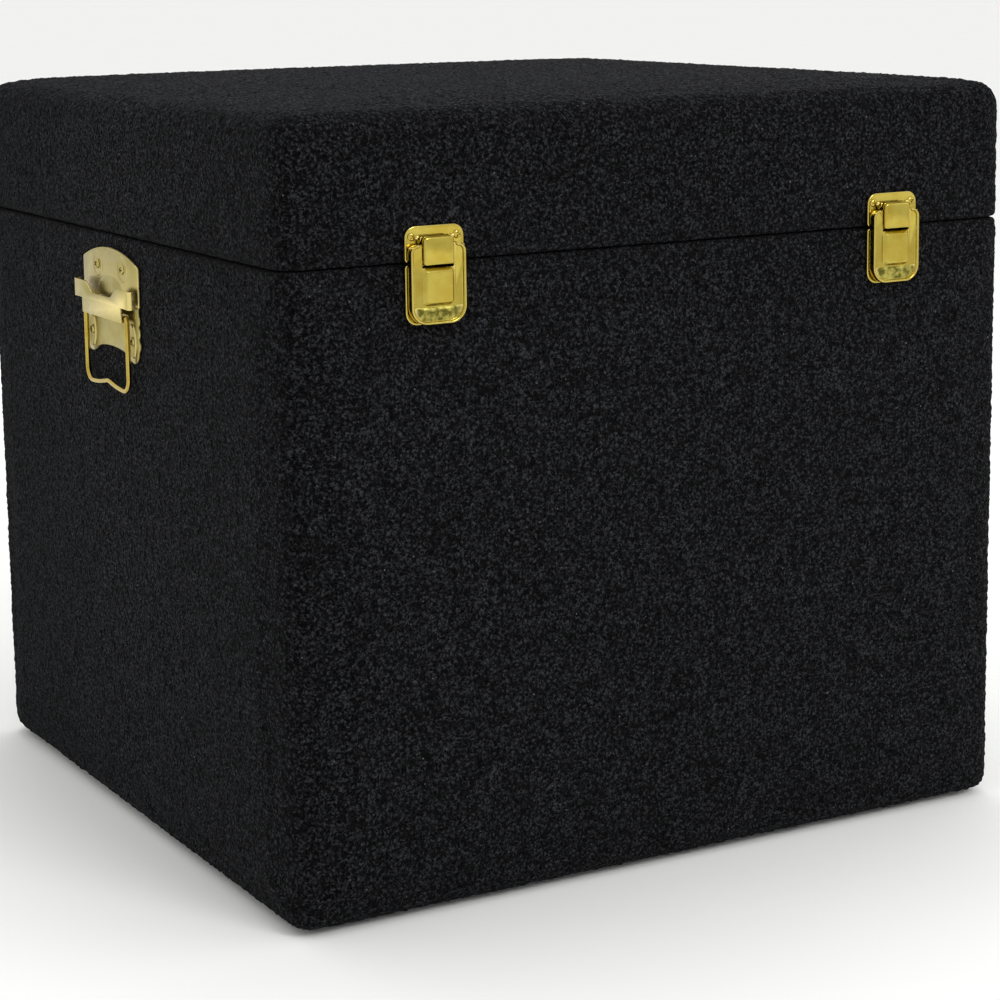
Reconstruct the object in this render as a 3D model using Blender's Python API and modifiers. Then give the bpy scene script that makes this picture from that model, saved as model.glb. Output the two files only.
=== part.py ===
"""Fabric-covered ottoman with a hinged lid, two draw latches and two side handles.

Metres, +Z up. The origin is the middle of the footprint on the floor, the latches face -Y.
"""
import math

import bmesh
import bpy
from mathutils import Matrix, Vector

# Overall sizes of the covered box
WIDTH = 0.434
DEPTH = 0.420
BODY_HEIGHT = 0.325            # floor to the parting line under the lid
LID_HEIGHT = 0.074             # parting line to the lid's top edge
LID_CROWN = 0.003              # how much the lid's middle stands above its edge
CORNER_RADIUS = 0.014          # upright corners
LID_EDGE_RADIUS = 0.013        # round the top of the lid
FOOT_EDGE_RADIUS = 0.009       # round the bottom of the body

# Carcass, padding and lining
GAP = 0.0003                   # between pieces that touch
COVER = 0.004                  # boucle with its thin foam backing
PANEL = 0.012                  # walls, rails
LID_BOARD = 0.012
BOTTOM_PANEL = 0.009
FOAM = 0.010
LINING = 0.0015
FLOOR_PAD = 0.006
DUST_COVER = 0.0008
BOTTOM_TURN = 0.045            # cover turned under the body
GLIDE_HEIGHT = 0.0025
GLIDE_RADIUS = 0.010
GLIDE_INSET = 0.028
NAIL_RADIUS = 0.0012
NAIL_LENGTH = 0.010

# Screws
SHANK_RADIUS = 0.0012
HEAD_HEIGHT = 0.0010
LATCH_HEAD_RADIUS = 0.0021
HANDLE_HEAD_RADIUS = 0.0027
LATCH_SCREW_LENGTH = 0.011
HANDLE_SCREW_LENGTH = 0.013

# Draw latches; heights are from the parting line, "out" is away from the front
LATCH_OFFSET = 0.136           # latch centre from the middle of the front
LATCH_WIDTH = 0.0315
LATCH_SHEET = 0.0010
KEEPER_TOP = 0.0178
KEEPER_SCREW_X = 0.01215
KEEPER_SCREW_Z = 0.0129
LIP_HALF_WIDTH = 0.0086
LIP_OUT = 0.0036
BASE_BOTTOM = 0.0292
EAR_X = 0.0120                 # middle of each ear
EAR_THICKNESS = 0.0012
PIVOT_OUT = 0.0033
PIVOT_Z = 0.0078
PIN_RADIUS = 0.0007
PIN_CLEARANCE = 0.0001
LEVER_WIDTH = 0.0296
LEVER_SHEET = 0.0009
LEVER_TOP = 0.0094
LEVER_BOTTOM = 0.0290
LEVER_FRONT = 0.0059           # lever face from the fabric
LEVER_CORNER = 0.0085
SLOT_HALF_WIDTH = 0.0089       # cut-out for the hook
SLOT_BOTTOM = -0.0009
EMBOSS_HALF_WIDTH = 0.0077
EMBOSS_BOTTOM = 0.01965
EMBOSS_RISE = 0.0005
HOOK_PIN_OUT = 0.0037
HOOK_PIN_Z = 0.0009
HOOK_HALF_WIDTH = 0.0076
HOOK_FRONT = 0.0066
HOOK_TOP = 0.0130
HOOK_SHEET = 0.0010
KNUCKLE_RADIUS = 0.0015

# Side handles; heights are below the parting line, "out" is away from the side
HANDLE_SHEET = 0.0012
ARCH_HALF_WIDTH = 0.0390
ARCH_TOP = 0.0066
ARCH_SHOULDER = 0.0140
TOP_SCREW_X = 0.0179
TOP_SCREW_Z = 0.0167
PLATE_SPLIT = 0.0348           # where the two wall plates meet
FOOT_PLATE_BOTTOM = 0.0650
FOOT_SCREW_X = 0.0290
FOOT_SCREW_Z = 0.0534
BRACKET_HALF_WIDTH = 0.0398
BRACKET_TOP = 0.0260
BRACKET_EAR_BOTTOM = 0.0355
EAR_TAPER = 0.0006             # the ears narrow by this much towards their ends
BRACKET_STEM = 0.0280          # half width of the stem
BRACKET_BOTTOM = 0.0434
BRACKET_FRONT = 0.0073
NOTCH_TOP = 0.0240             # half width of the notch at its top
NOTCH_FLOOR = 0.0110           # half width of the notch at its floor
NOTCH_DEPTH = 0.0056
SADDLE_INNER = 0.0190
SADDLE_OUTER = 0.0266
WIRE_RADIUS = 0.00135
BAIL_OUT = 0.0045
BAIL_PIVOT = 0.0410
BAIL_HALF_WIDTH = 0.0298
BAIL_BOTTOM = 0.0815
BAIL_DENT = 0.0030
BAIL_BEND = 0.0026
BAIL_CORNER = 0.0070
BAIL_STUB_END = 0.0210
BORE_CLEARANCE = 0.00015

# Back hinges
HINGE_OFFSET = 0.125
HINGE_WIDTH = 0.036
HINGE_LEAF = 0.026
HINGE_SHEET = 0.0012
BARREL_RADIUS = 0.0027
BARREL_OUT = 0.0039
HINGE_PIN_RADIUS = 0.0012
KNUCKLES = 5
HINGE_SCREW_X = 0.011
HINGE_SCREW_Z = 0.016

SEAM = BODY_HEIGHT
PANEL_OUT = COVER + GAP                    # fabric face to the outside of a wall panel
PANEL_IN = PANEL_OUT + PANEL               # fabric face to the inside of a wall panel
HALF_W = WIDTH / 2
HALF_D = DEPTH / 2
SCREW_HOLE = SHANK_RADIUS + GAP
MERGE = 0.00002


def clear_scene():
    for item in list(bpy.data.objects):
        bpy.data.objects.remove(item, do_unlink=True)


def new_collection(name):
    collection = bpy.data.collections.new(name)
    bpy.context.scene.collection.children.link(collection)
    return collection


def srgb(value):
    return value / 12.92 if value <= 0.04045 else ((value + 0.055) / 1.055) ** 2.4


def make_material(name, hex_colour, roughness, metallic=0.0):
    material = bpy.data.materials.new(name)
    material.use_nodes = True
    shader = material.node_tree.nodes["Principled BSDF"]
    channels = [int(hex_colour[i:i + 2], 16) / 255 for i in (0, 2, 4)]
    shader.inputs["Base Color"].default_value = [srgb(c) for c in channels] + [1.0]
    shader.inputs["Roughness"].default_value = roughness
    shader.inputs["Metallic"].default_value = metallic
    return material


clear_scene()
PARTS = new_collection("storage_ottoman")
CUTTERS = new_collection("cutters")
BOUCLE = make_material("black_boucle", "161616", 0.95)
BOARD = make_material("fibreboard", "A98A63", 0.75)
FOAM_MATERIAL = make_material("upholstery_foam", "E6DDB8", 0.95)
LINING_MATERIAL = make_material("black_lining", "1D1D1F", 0.9)
BRASS = make_material("polished_brass_plate", "C8A84A", 0.2, 1.0)
SATIN_BRASS = make_material("satin_brass_plate", "B7AC66", 0.32, 1.0)
NYLON = make_material("black_nylon", "1A1A1A", 0.5)


def mesh_object(name, bm, material=None, at=(0, 0, 0), station=None):
    """Wrap a bmesh in an object; without a material it is a cutter."""
    mesh = bpy.data.meshes.new(name)
    bm.to_mesh(mesh)
    bm.free()
    item = bpy.data.objects.new(name, mesh)
    if material:
        PARTS.objects.link(item)
        mesh.materials.append(material)
    else:
        CUTTERS.objects.link(item)
        item.hide_render = True
        item.display_type = "WIRE"
    item.location = at
    item.parent = station
    return item


def boolean(item, tool, operation="DIFFERENCE"):
    modifier = item.modifiers.new(tool.name, "BOOLEAN")
    modifier.operation = operation
    modifier.solver = "EXACT"
    modifier.object = tool


def box_bmesh(low, high):
    bm = bmesh.new()
    bmesh.ops.create_cube(bm, size=1.0)
    size = Vector(high) - Vector(low)
    bmesh.ops.scale(bm, vec=size, verts=bm.verts)
    bmesh.ops.translate(bm, vec=(Vector(high) + Vector(low)) / 2, verts=bm.verts)
    return bm


def round_edges(bm, radius, wanted, segments=4):
    """Bevel the edges whose two ends satisfy wanted(a, b)."""
    if radius <= 0:
        return
    edges = [e for e in bm.edges if wanted(e.verts[0].co, e.verts[1].co)]
    bmesh.ops.bevel(bm, geom=edges, offset=radius, segments=segments, profile=0.5,
                    affect="EDGES", clamp_overlap=False)


def upright(a, b):
    return abs(a.x - b.x) < MERGE and abs(a.y - b.y) < MERGE


def level_at(height):
    return lambda a, b: abs(a.z - height) < MERGE and abs(b.z - height) < MERGE


def rounded_box(name, low, high, material=None, uprights=0, bottom=0):
    bm = box_bmesh(low, high)
    round_edges(bm, uprights, upright)
    round_edges(bm, bottom, level_at(low[2]))
    return mesh_object(name, bm, material)


def crowned_box(name, inset, bottom, top, crown, material=None, uprights=0, edge=0):
    """A slab over the footprint whose top face rises by crown in the middle."""
    half_x = HALF_W - inset
    half_y = HALF_D - inset
    bm = bmesh.new()
    bmesh.ops.create_grid(bm, x_segments=8, y_segments=8, size=1.0)
    for vert in bm.verts:
        x, y = vert.co.x, vert.co.y
        rise = crown * (1 - x ** 4) * (1 - y ** 4)
        vert.co = (x * half_x, y * half_y, top + rise)
    extruded = bmesh.ops.extrude_face_region(bm, geom=bm.faces[:])
    for vert in [g for g in extruded["geom"] if isinstance(g, bmesh.types.BMVert)]:
        vert.co.z = bottom
    bmesh.ops.recalc_face_normals(bm, faces=bm.faces[:])
    corner = half_x - MERGE
    round_edges(bm, uprights, lambda a, b: upright(a, b) and abs(a.x) > corner
                and abs(a.y) > half_y - MERGE)
    rim = [e for e in bm.edges if level_at(top)(e.verts[0].co, e.verts[1].co)
           and any(abs(f.normal.z) < 0.5 for f in e.link_faces)]
    if edge:
        bmesh.ops.bevel(bm, geom=rim, offset=edge, segments=4, profile=0.5,
                        affect="EDGES", clamp_overlap=False)
    return mesh_object(name, bm, material)


def arc(cx, cy, radius, start, end, count):
    """Points on an arc, angles in degrees, both ends included."""
    step = (end - start) / (count - 1)
    angles = [math.radians(start + step * i) for i in range(count)]
    return [(cx + radius * math.cos(a), cy + radius * math.sin(a)) for a in angles]


def rounded_outline(left, right, bottom, top, low_radius, high_radius, count=5):
    """A rectangle with its lower and upper corners rounded."""
    points = arc(right - low_radius, bottom + low_radius, low_radius, -90, 0, count)
    points += arc(right - high_radius, top - high_radius, high_radius, 0, 90, count)
    points += arc(left + high_radius, top - high_radius, high_radius, 90, 180, count)
    points += arc(left + low_radius, bottom + low_radius, low_radius, 180, 270, count)
    return points


def mirrored(points):
    """Close an outline given for x >= 0, top to bottom, with its mirror image."""
    return points + [(-x, y) for x, y in reversed(points) if x > MERGE]


def flat_bmesh(loops, thickness):
    """A flat sheet from closed outlines; outlines inside the first are its holes."""
    curve = bpy.data.curves.new("outline", "CURVE")
    curve.dimensions = "2D"
    curve.fill_mode = "BOTH"
    curve.extrude = thickness / 2
    for loop in loops:
        spline = curve.splines.new("POLY")
        spline.points.add(len(loop) - 1)
        for point, (x, y) in zip(spline.points, loop):
            point.co = (x, y, 0, 1)
        spline.use_cyclic_u = True
    helper = bpy.data.objects.new("outline", curve)
    CUTTERS.objects.link(helper)
    evaluated = helper.evaluated_get(bpy.context.evaluated_depsgraph_get())
    mesh = bpy.data.meshes.new_from_object(evaluated)
    bm = bmesh.new()
    bm.from_mesh(mesh)
    bmesh.ops.remove_doubles(bm, verts=bm.verts[:], dist=0.000001)
    bmesh.ops.recalc_face_normals(bm, faces=bm.faces[:])
    bmesh.ops.dissolve_limit(bm, angle_limit=0.001, verts=bm.verts[:], edges=bm.edges[:])
    bpy.data.objects.remove(helper, do_unlink=True)
    bpy.data.curves.remove(curve)
    bpy.data.meshes.remove(mesh)
    return bm


def facing_sheet(name, loops, back, front, station, material=None, pivot=(0, 0)):
    """A sheet parallel to the wall: loops are (across, height), back and front are out."""
    bm = flat_bmesh(loops, front - back)
    turn = Matrix.Rotation(math.radians(90), 4, "X")
    middle = (back + front) / 2
    shift = Matrix.Translation((0, pivot[0] - middle, -pivot[1]))
    bmesh.ops.transform(bm, matrix=shift @ turn, verts=bm.verts)
    return mesh_object(name, bm, material, (0, -pivot[0], pivot[1]), station)


def side_profile(name, loops, left, right, station, material=None, pivot=(0, 0)):
    """A profile seen from the side, loops are (out, height), carried from left to right."""
    bm = flat_bmesh(loops, right - left)
    turn = Matrix(((0, 0, -1, 0), (-1, 0, 0, 0), (0, 1, 0, 0), (0, 0, 0, 1)))
    shift = Matrix.Translation(((left + right) / 2, pivot[0], -pivot[1]))
    bmesh.ops.transform(bm, matrix=shift @ turn, verts=bm.verts)
    return mesh_object(name, bm, material, (0, -pivot[0], pivot[1]), station)


def add_cylinder(bm, radius, centre, length, axis, segments=16):
    turn = Matrix() if axis == "Z" else Matrix.Rotation(math.radians(90), 4, "X")
    if axis == "X":
        turn = Matrix.Rotation(math.radians(90), 4, "Y")
    bmesh.ops.create_cone(bm, cap_ends=True, segments=segments, radius1=radius, radius2=radius,
                          depth=length, matrix=Matrix.Translation(centre) @ turn)


def cross_pin(name, out, height, radius, half_length, station, material=None):
    """A pin lying across a fitting, its origin on its own axis."""
    bm = bmesh.new()
    add_cylinder(bm, radius, (0, 0, 0), 2 * half_length, "X")
    return mesh_object(name, bm, material, (0, -out, height), station)


def screw_holes(name, places, depth, station):
    """One cutter with a hole, from in front of the fitting into the panel, at each place."""
    bm = bmesh.new()
    lead = 0.006
    for x, z in places:
        add_cylinder(bm, SCREW_HOLE, (x, (depth - lead) / 2, z), depth + lead, "Y", 12)
    return mesh_object(name, bm, None, (0, 0, 0), station)


def turned(name, profile, at, rotation, station, material):
    """A turned piece: the profile runs down its outer side and a Screw modifier spins it."""
    bm = bmesh.new()
    verts = [bm.verts.new((x, 0, z)) for x, z in profile]
    for a, b in zip(verts, verts[1:]):
        bm.edges.new((a, b))
    item = mesh_object(name, bm, material, at, station)
    item.rotation_euler = rotation
    spin = item.modifiers.new("turn", "SCREW")
    spin.steps = 16
    spin.render_steps = 16
    spin.use_merge_vertices = True
    spin.merge_threshold = 0.00002
    spin.use_normal_calculate = False
    return item


def wood_screw(name, x, z, seat, head_radius, length, station, material):
    """A pan-head screw whose head sits on the plate at seat; the shank points inwards."""
    profile = [(0, HEAD_HEIGHT), (head_radius * 0.6, HEAD_HEIGHT * 0.85),
               (head_radius, 0), (SHANK_RADIUS, 0), (SHANK_RADIUS, -length + SHANK_RADIUS * 2),
               (0, -length)]
    return turned(name, profile, (x, -seat - GAP, z), (math.radians(90), 0, 0), station, material)


def make_station(name, location, angle):
    """An empty on a face of the box; its -Y axis points straight out of that face."""
    empty = bpy.data.objects.new(name, None)
    PARTS.objects.link(empty)
    empty.location = location
    empty.rotation_euler = (0, 0, math.radians(angle))
    return empty


def make_body():
    cover_low = GLIDE_HEIGHT + GAP
    panel_low = cover_low + COVER + GAP
    cover_high = SEAM - GAP
    panel_high = cover_high - COVER - GAP
    corner = min(CORNER_RADIUS - PANEL_OUT, PANEL * 0.9)

    cover = rounded_box("body_cover", (-HALF_W, -HALF_D, cover_low), (HALF_W, HALF_D, cover_high),
                        BOUCLE, CORNER_RADIUS, FOOT_EDGE_RADIUS)
    hollow = rounded_box("body_hollow", (-HALF_W + COVER, -HALF_D + COVER, cover_low + COVER),
                         (HALF_W - COVER, HALF_D - COVER, cover_high - COVER), None,
                         CORNER_RADIUS - COVER)
    mouth = rounded_box("body_mouth", (-HALF_W + PANEL_IN, -HALF_D + PANEL_IN, SEAM / 2),
                        (HALF_W - PANEL_IN, HALF_D - PANEL_IN, SEAM + COVER))
    under = rounded_box("body_under", (-HALF_W + BOTTOM_TURN, -HALF_D + BOTTOM_TURN, -COVER),
                        (HALF_W - BOTTOM_TURN, HALF_D - BOTTOM_TURN, SEAM / 2 + COVER))
    for tool in (hollow, mouth, under):
        boolean(cover, tool)

    x_out = HALF_W - PANEL_OUT
    y_out = HALF_D - PANEL_OUT
    x_in = HALF_W - PANEL_IN
    y_in = HALF_D - PANEL_IN
    panels = {}
    for name, low, high in (("front_panel", -y_out, -y_in), ("back_panel", y_in, y_out)):
        bm = box_bmesh((-x_out, low, panel_low), (x_out, high, panel_high))
        round_edges(bm, corner, lambda a, b: upright(a, b) and abs(a.y) > y_out - MERGE)
        panels[name] = mesh_object(name, bm, BOARD)
    for name, low, high in (("left_panel", -x_out, -x_in), ("right_panel", x_in, x_out)):
        panels[name] = rounded_box(name, (low, -y_in + GAP, panel_low),
                                   (high, y_in - GAP, panel_high), BOARD)
    bottom = rounded_box("bottom_panel", (-x_in + GAP, -y_in + GAP, panel_low),
                         (x_in - GAP, y_in - GAP, panel_low + BOTTOM_PANEL), BOARD)

    pad_low = panel_low + BOTTOM_PANEL + GAP
    lining = rounded_box("body_lining", (-x_in + GAP, -y_in + GAP, pad_low),
                         (x_in - GAP, y_in - GAP, cover_high), LINING_MATERIAL)
    skin = GAP + LINING
    boolean(lining, rounded_box("lining_hollow", (-x_in + skin, -y_in + skin, 0),
                                (x_in - skin, y_in - skin, SEAM + COVER)))
    rounded_box("floor_pad", (-x_in + skin + GAP, -y_in + skin + GAP, pad_low),
                (x_in - skin - GAP, y_in - skin - GAP, pad_low + FLOOR_PAD), LINING_MATERIAL)
    rounded_box("dust_cover", (-HALF_W + BOTTOM_TURN + GAP, -HALF_D + BOTTOM_TURN + GAP,
                               panel_low - GAP - DUST_COVER),
                (HALF_W - BOTTOM_TURN - GAP, HALF_D - BOTTOM_TURN - GAP, panel_low - GAP),
                LINING_MATERIAL)
    make_glides(cover, bottom)
    return cover, panels


def make_glides(cover, bottom):
    """Four nail-on glides through the turned-under cover into the bottom panel."""
    profile = [(0, GLIDE_HEIGHT + NAIL_LENGTH),
               (NAIL_RADIUS, GLIDE_HEIGHT + NAIL_LENGTH - 2 * NAIL_RADIUS),
               (NAIL_RADIUS, GLIDE_HEIGHT), (GLIDE_RADIUS, GLIDE_HEIGHT),
               (GLIDE_RADIUS * 0.85, 0), (0, 0)]
    bm = bmesh.new()
    for front, y in (("front", -HALF_D + GLIDE_INSET), ("back", HALF_D - GLIDE_INSET)):
        for side, x in (("left", -HALF_W + GLIDE_INSET), ("right", HALF_W - GLIDE_INSET)):
            turned(f"glide_{front}_{side}", profile, (x, y, 0), (0, 0, 0), None, NYLON)
            depth = GLIDE_HEIGHT + NAIL_LENGTH + GAP
            add_cylinder(bm, NAIL_RADIUS + GAP, (x, y, depth / 2), depth, "Z", 12)
    holes = mesh_object("nail_holes", bm)
    boolean(cover, holes)
    boolean(bottom, holes)


def make_lid():
    low = SEAM + GAP
    top = SEAM + LID_HEIGHT
    rail_low = low + COVER + GAP
    foam_top = top - PANEL_OUT
    foam_low = foam_top - FOAM
    board_top = foam_low - GAP
    board_low = board_top - LID_BOARD
    rail_top = board_low - GAP
    x_out = HALF_W - PANEL_OUT
    y_out = HALF_D - PANEL_OUT
    x_in = HALF_W - PANEL_IN
    y_in = HALF_D - PANEL_IN
    corner = min(CORNER_RADIUS - PANEL_OUT, PANEL * 0.9)

    cover = crowned_box("lid_cover", 0, low, top, LID_CROWN, BOUCLE, CORNER_RADIUS, LID_EDGE_RADIUS)
    hollow = crowned_box("lid_hollow", COVER, low + COVER, top - COVER, LID_CROWN, None,
                         CORNER_RADIUS - COVER, LID_EDGE_RADIUS - COVER)
    mouth = rounded_box("lid_mouth", (-x_in, -y_in, SEAM - COVER), (x_in, y_in, low + 2 * COVER))
    boolean(cover, hollow)
    boolean(cover, mouth)
    crowned_box("lid_foam", PANEL_OUT, foam_low, foam_top, LID_CROWN, FOAM_MATERIAL,
                CORNER_RADIUS - PANEL_OUT, min(LID_EDGE_RADIUS - PANEL_OUT, FOAM * 0.9))
    rounded_box("lid_board", (-x_out, -y_out, board_low), (x_out, y_out, board_top), BOARD, corner)
    rails = {}
    for name, y_low, y_high in (("lid_front_rail", -y_out, -y_in), ("lid_back_rail", y_in, y_out)):
        bm = box_bmesh((-x_out, y_low, rail_low), (x_out, y_high, rail_top))
        round_edges(bm, corner, lambda a, b: upright(a, b) and abs(a.y) > y_out - MERGE)
        rails[name] = mesh_object(name, bm, BOARD)
    for name, x_low, x_high in (("lid_left_rail", -x_out, -x_in), ("lid_right_rail", x_in, x_out)):
        rounded_box(name, (x_low, -y_in + GAP, rail_low), (x_high, y_in - GAP, rail_top), BOARD)
    lining = rounded_box("lid_lining", (-x_in + GAP, -y_in + GAP, low),
                         (x_in - GAP, y_in - GAP, board_low - GAP), LINING_MATERIAL)
    skin = GAP + LINING
    boolean(lining, rounded_box("lid_lining_hollow", (-x_in + skin, -y_in + skin, SEAM - COVER),
                                (x_in - skin, y_in - skin, board_low - skin)))
    return cover, rails["lid_front_rail"]


def make_latch(side, sign, lid_cover, front_rail):
    station = make_station(f"latch_{side}", (sign * LATCH_OFFSET, -HALF_D, SEAM), 0)
    name = "latch_{}_" + side
    half = LATCH_WIDTH / 2
    back = GAP
    face = GAP + LATCH_SHEET

    hole = arc(0, 0, SCREW_HOLE, 0, 330, 12)
    places = [(-KEEPER_SCREW_X, KEEPER_SCREW_Z), (KEEPER_SCREW_X, KEEPER_SCREW_Z)]
    outline = rounded_outline(-half, half, 0.0008, KEEPER_TOP, 0.001, 0.0055)
    loops = [outline] + [[(px + x, py + z) for px, py in hole] for x, z in places]
    keeper = facing_sheet(name.format("keeper"), loops, back, face, station, BRASS)
    lip_low = HOOK_TOP - 0.0027
    lip = [(face - LATCH_SHEET / 2, lip_low), (0.0026, lip_low), (LIP_OUT - 0.0002, lip_low + 0.0010),
           (LIP_OUT, HOOK_TOP), (LIP_OUT - LATCH_SHEET, HOOK_TOP), (0.0022, lip_low + 0.0012),
           (face - LATCH_SHEET / 2, lip_low + 0.0010)]
    boolean(keeper, side_profile(f"lip_{side}", [lip], -LIP_HALF_WIDTH, LIP_HALF_WIDTH, station),
            "UNION")
    for number, (x, z) in enumerate(places, 1):
        wood_screw(f"latch_keeper_screw_{side}_{number}", x, z, face, LATCH_HEAD_RADIUS,
                   LATCH_SCREW_LENGTH, station, BRASS)
    holes = screw_holes(f"keeper_holes_{side}", places, LATCH_SCREW_LENGTH, station)
    boolean(lid_cover, holes)
    boolean(front_rail, holes)

    make_latch_base(side, station, back, face)
    make_lever(side, station, face)
    make_hook(side, station)
    cross_pin(name.format("lever_pin"), PIVOT_OUT, PIVOT_Z, PIN_RADIUS, LEVER_WIDTH / 2, station,
              BRASS)
    cross_pin(name.format("hook_pin"), HOOK_PIN_OUT, HOOK_PIN_Z, PIN_RADIUS,
              SLOT_HALF_WIDTH + LEVER_SHEET, station, BRASS)


def make_latch_base(side, station, back, face):
    """The plate on the body with two ears that carry the lever's pin."""
    half = LATCH_WIDTH / 2
    outline = rounded_outline(-half, half, -BASE_BOTTOM, -0.0004, 0.006, 0.001)
    base = facing_sheet(f"latch_base_{side}", [outline], back, face, station, BRASS)
    ear_end = PIN_RADIUS + PIN_CLEARANCE + 0.0005
    ear_back = PIVOT_OUT - ear_end
    ear_front = PIVOT_OUT + ear_end
    root = back + LATCH_SHEET / 2
    ear = [(root, -0.0120), (ear_front, -0.0060), (ear_front, PIVOT_Z)]
    ear += arc(PIVOT_OUT, PIVOT_Z, ear_end, 0, 180, 7)[1:]
    ear += [(ear_back, -0.0004), (root, -0.0014)]
    for number, x in enumerate((-EAR_X, EAR_X), 1):
        tool = side_profile(f"ear_{side}_{number}", [ear], x - EAR_THICKNESS / 2,
                            x + EAR_THICKNESS / 2, station)
        boolean(base, tool, "UNION")
    boolean(base, cross_pin(f"ear_bore_{side}", PIVOT_OUT, PIVOT_Z, PIN_RADIUS + PIN_CLEARANCE,
                            LEVER_WIDTH, station))


def make_lever(side, station, face):
    """A pressed tray with a cut-out for the hook, turning on the pin in the base's ears."""
    half = LEVER_WIDTH / 2
    pivot = (PIVOT_OUT, PIVOT_Z)
    back = face + 0.0004
    right = arc(half - LEVER_CORNER, -LEVER_BOTTOM + LEVER_CORNER, LEVER_CORNER, 0, -90, 6)
    shoulder = arc(half - 0.004, LEVER_TOP - 0.004, 0.004, 90, 0, 5)
    outline = mirrored([(SLOT_HALF_WIDTH, SLOT_BOTTOM), (SLOT_HALF_WIDTH, LEVER_TOP)]
                       + shoulder + right)
    lever = facing_sheet(f"latch_lever_{side}", [outline], back, LEVER_FRONT, station, BRASS, pivot)
    wall = LEVER_SHEET
    inner = half - wall
    pocket_low = arc(inner - LEVER_CORNER + wall, -LEVER_BOTTOM + LEVER_CORNER,
                     LEVER_CORNER - wall, 0, -90, 6)
    slot_wall = SLOT_HALF_WIDTH + wall
    pocket = mirrored([(slot_wall, SLOT_BOTTOM - wall), (slot_wall, LEVER_TOP + wall),
                       (inner, LEVER_TOP + wall)] + pocket_low)
    boolean(lever, facing_sheet(f"lever_pocket_{side}", [pocket], 0, LEVER_FRONT - wall, station))
    emboss = rounded_outline(-EMBOSS_HALF_WIDTH, EMBOSS_HALF_WIDTH, -EMBOSS_BOTTOM,
                             SLOT_BOTTOM - 0.0004, 0.0025, 0.0008)
    boolean(lever, facing_sheet(f"lever_emboss_{side}", [emboss], LEVER_FRONT - wall / 2,
                                LEVER_FRONT + EMBOSS_RISE, station), "UNION")
    trim = [(0, LEVER_TOP - 0.0022), (back, LEVER_TOP - 0.0012), (back + 0.0012, LEVER_TOP),
            (back + 0.0018, LEVER_TOP + 0.002), (0, LEVER_TOP + 0.002)]
    boolean(lever, side_profile(f"lever_trim_{side}", [trim], -LEVER_WIDTH, LEVER_WIDTH, station))
    for tag, out, height in (("pivot", PIVOT_OUT, PIVOT_Z), ("link", HOOK_PIN_OUT, HOOK_PIN_Z)):
        reach = LEVER_WIDTH if tag == "pivot" else slot_wall + 0.0006
        boolean(lever, cross_pin(f"lever_{tag}_bore_{side}", out, height,
                                 PIN_RADIUS + PIN_CLEARANCE, reach, station))


def make_hook(side, station):
    """The link that reaches over the keeper's lip, turning on a pin in the lever."""
    x, z = HOOK_PIN_OUT, HOOK_PIN_Z
    front = HOOK_FRONT
    inside = HOOK_FRONT - HOOK_SHEET
    knuckle = arc(x, z, KNUCKLE_RADIUS, 90, 370, 11)
    tip = LIP_OUT + 0.0005
    outline = knuckle + [(x + KNUCKLE_RADIUS, z + 0.0012), (front, z + 0.0032),
                         (front, HOOK_TOP - 0.0012), (front - 0.0004, HOOK_TOP - 0.0004),
                         (front - 0.0012, HOOK_TOP), (tip, HOOK_TOP),
                         (tip, HOOK_TOP - HOOK_SHEET), (inside - 0.0004, HOOK_TOP - HOOK_SHEET),
                         (inside, HOOK_TOP - HOOK_SHEET - 0.0004), (inside, z + 0.0036),
                         (x + KNUCKLE_RADIUS - HOOK_SHEET, z + 0.0020)]
    bore = arc(x, z, PIN_RADIUS + PIN_CLEARANCE, 0, -337.5, 16)
    side_profile(f"latch_hook_{side}", [outline, bore], -HOOK_HALF_WIDTH, HOOK_HALF_WIDTH, station,
                 BRASS, (x, z))


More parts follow.
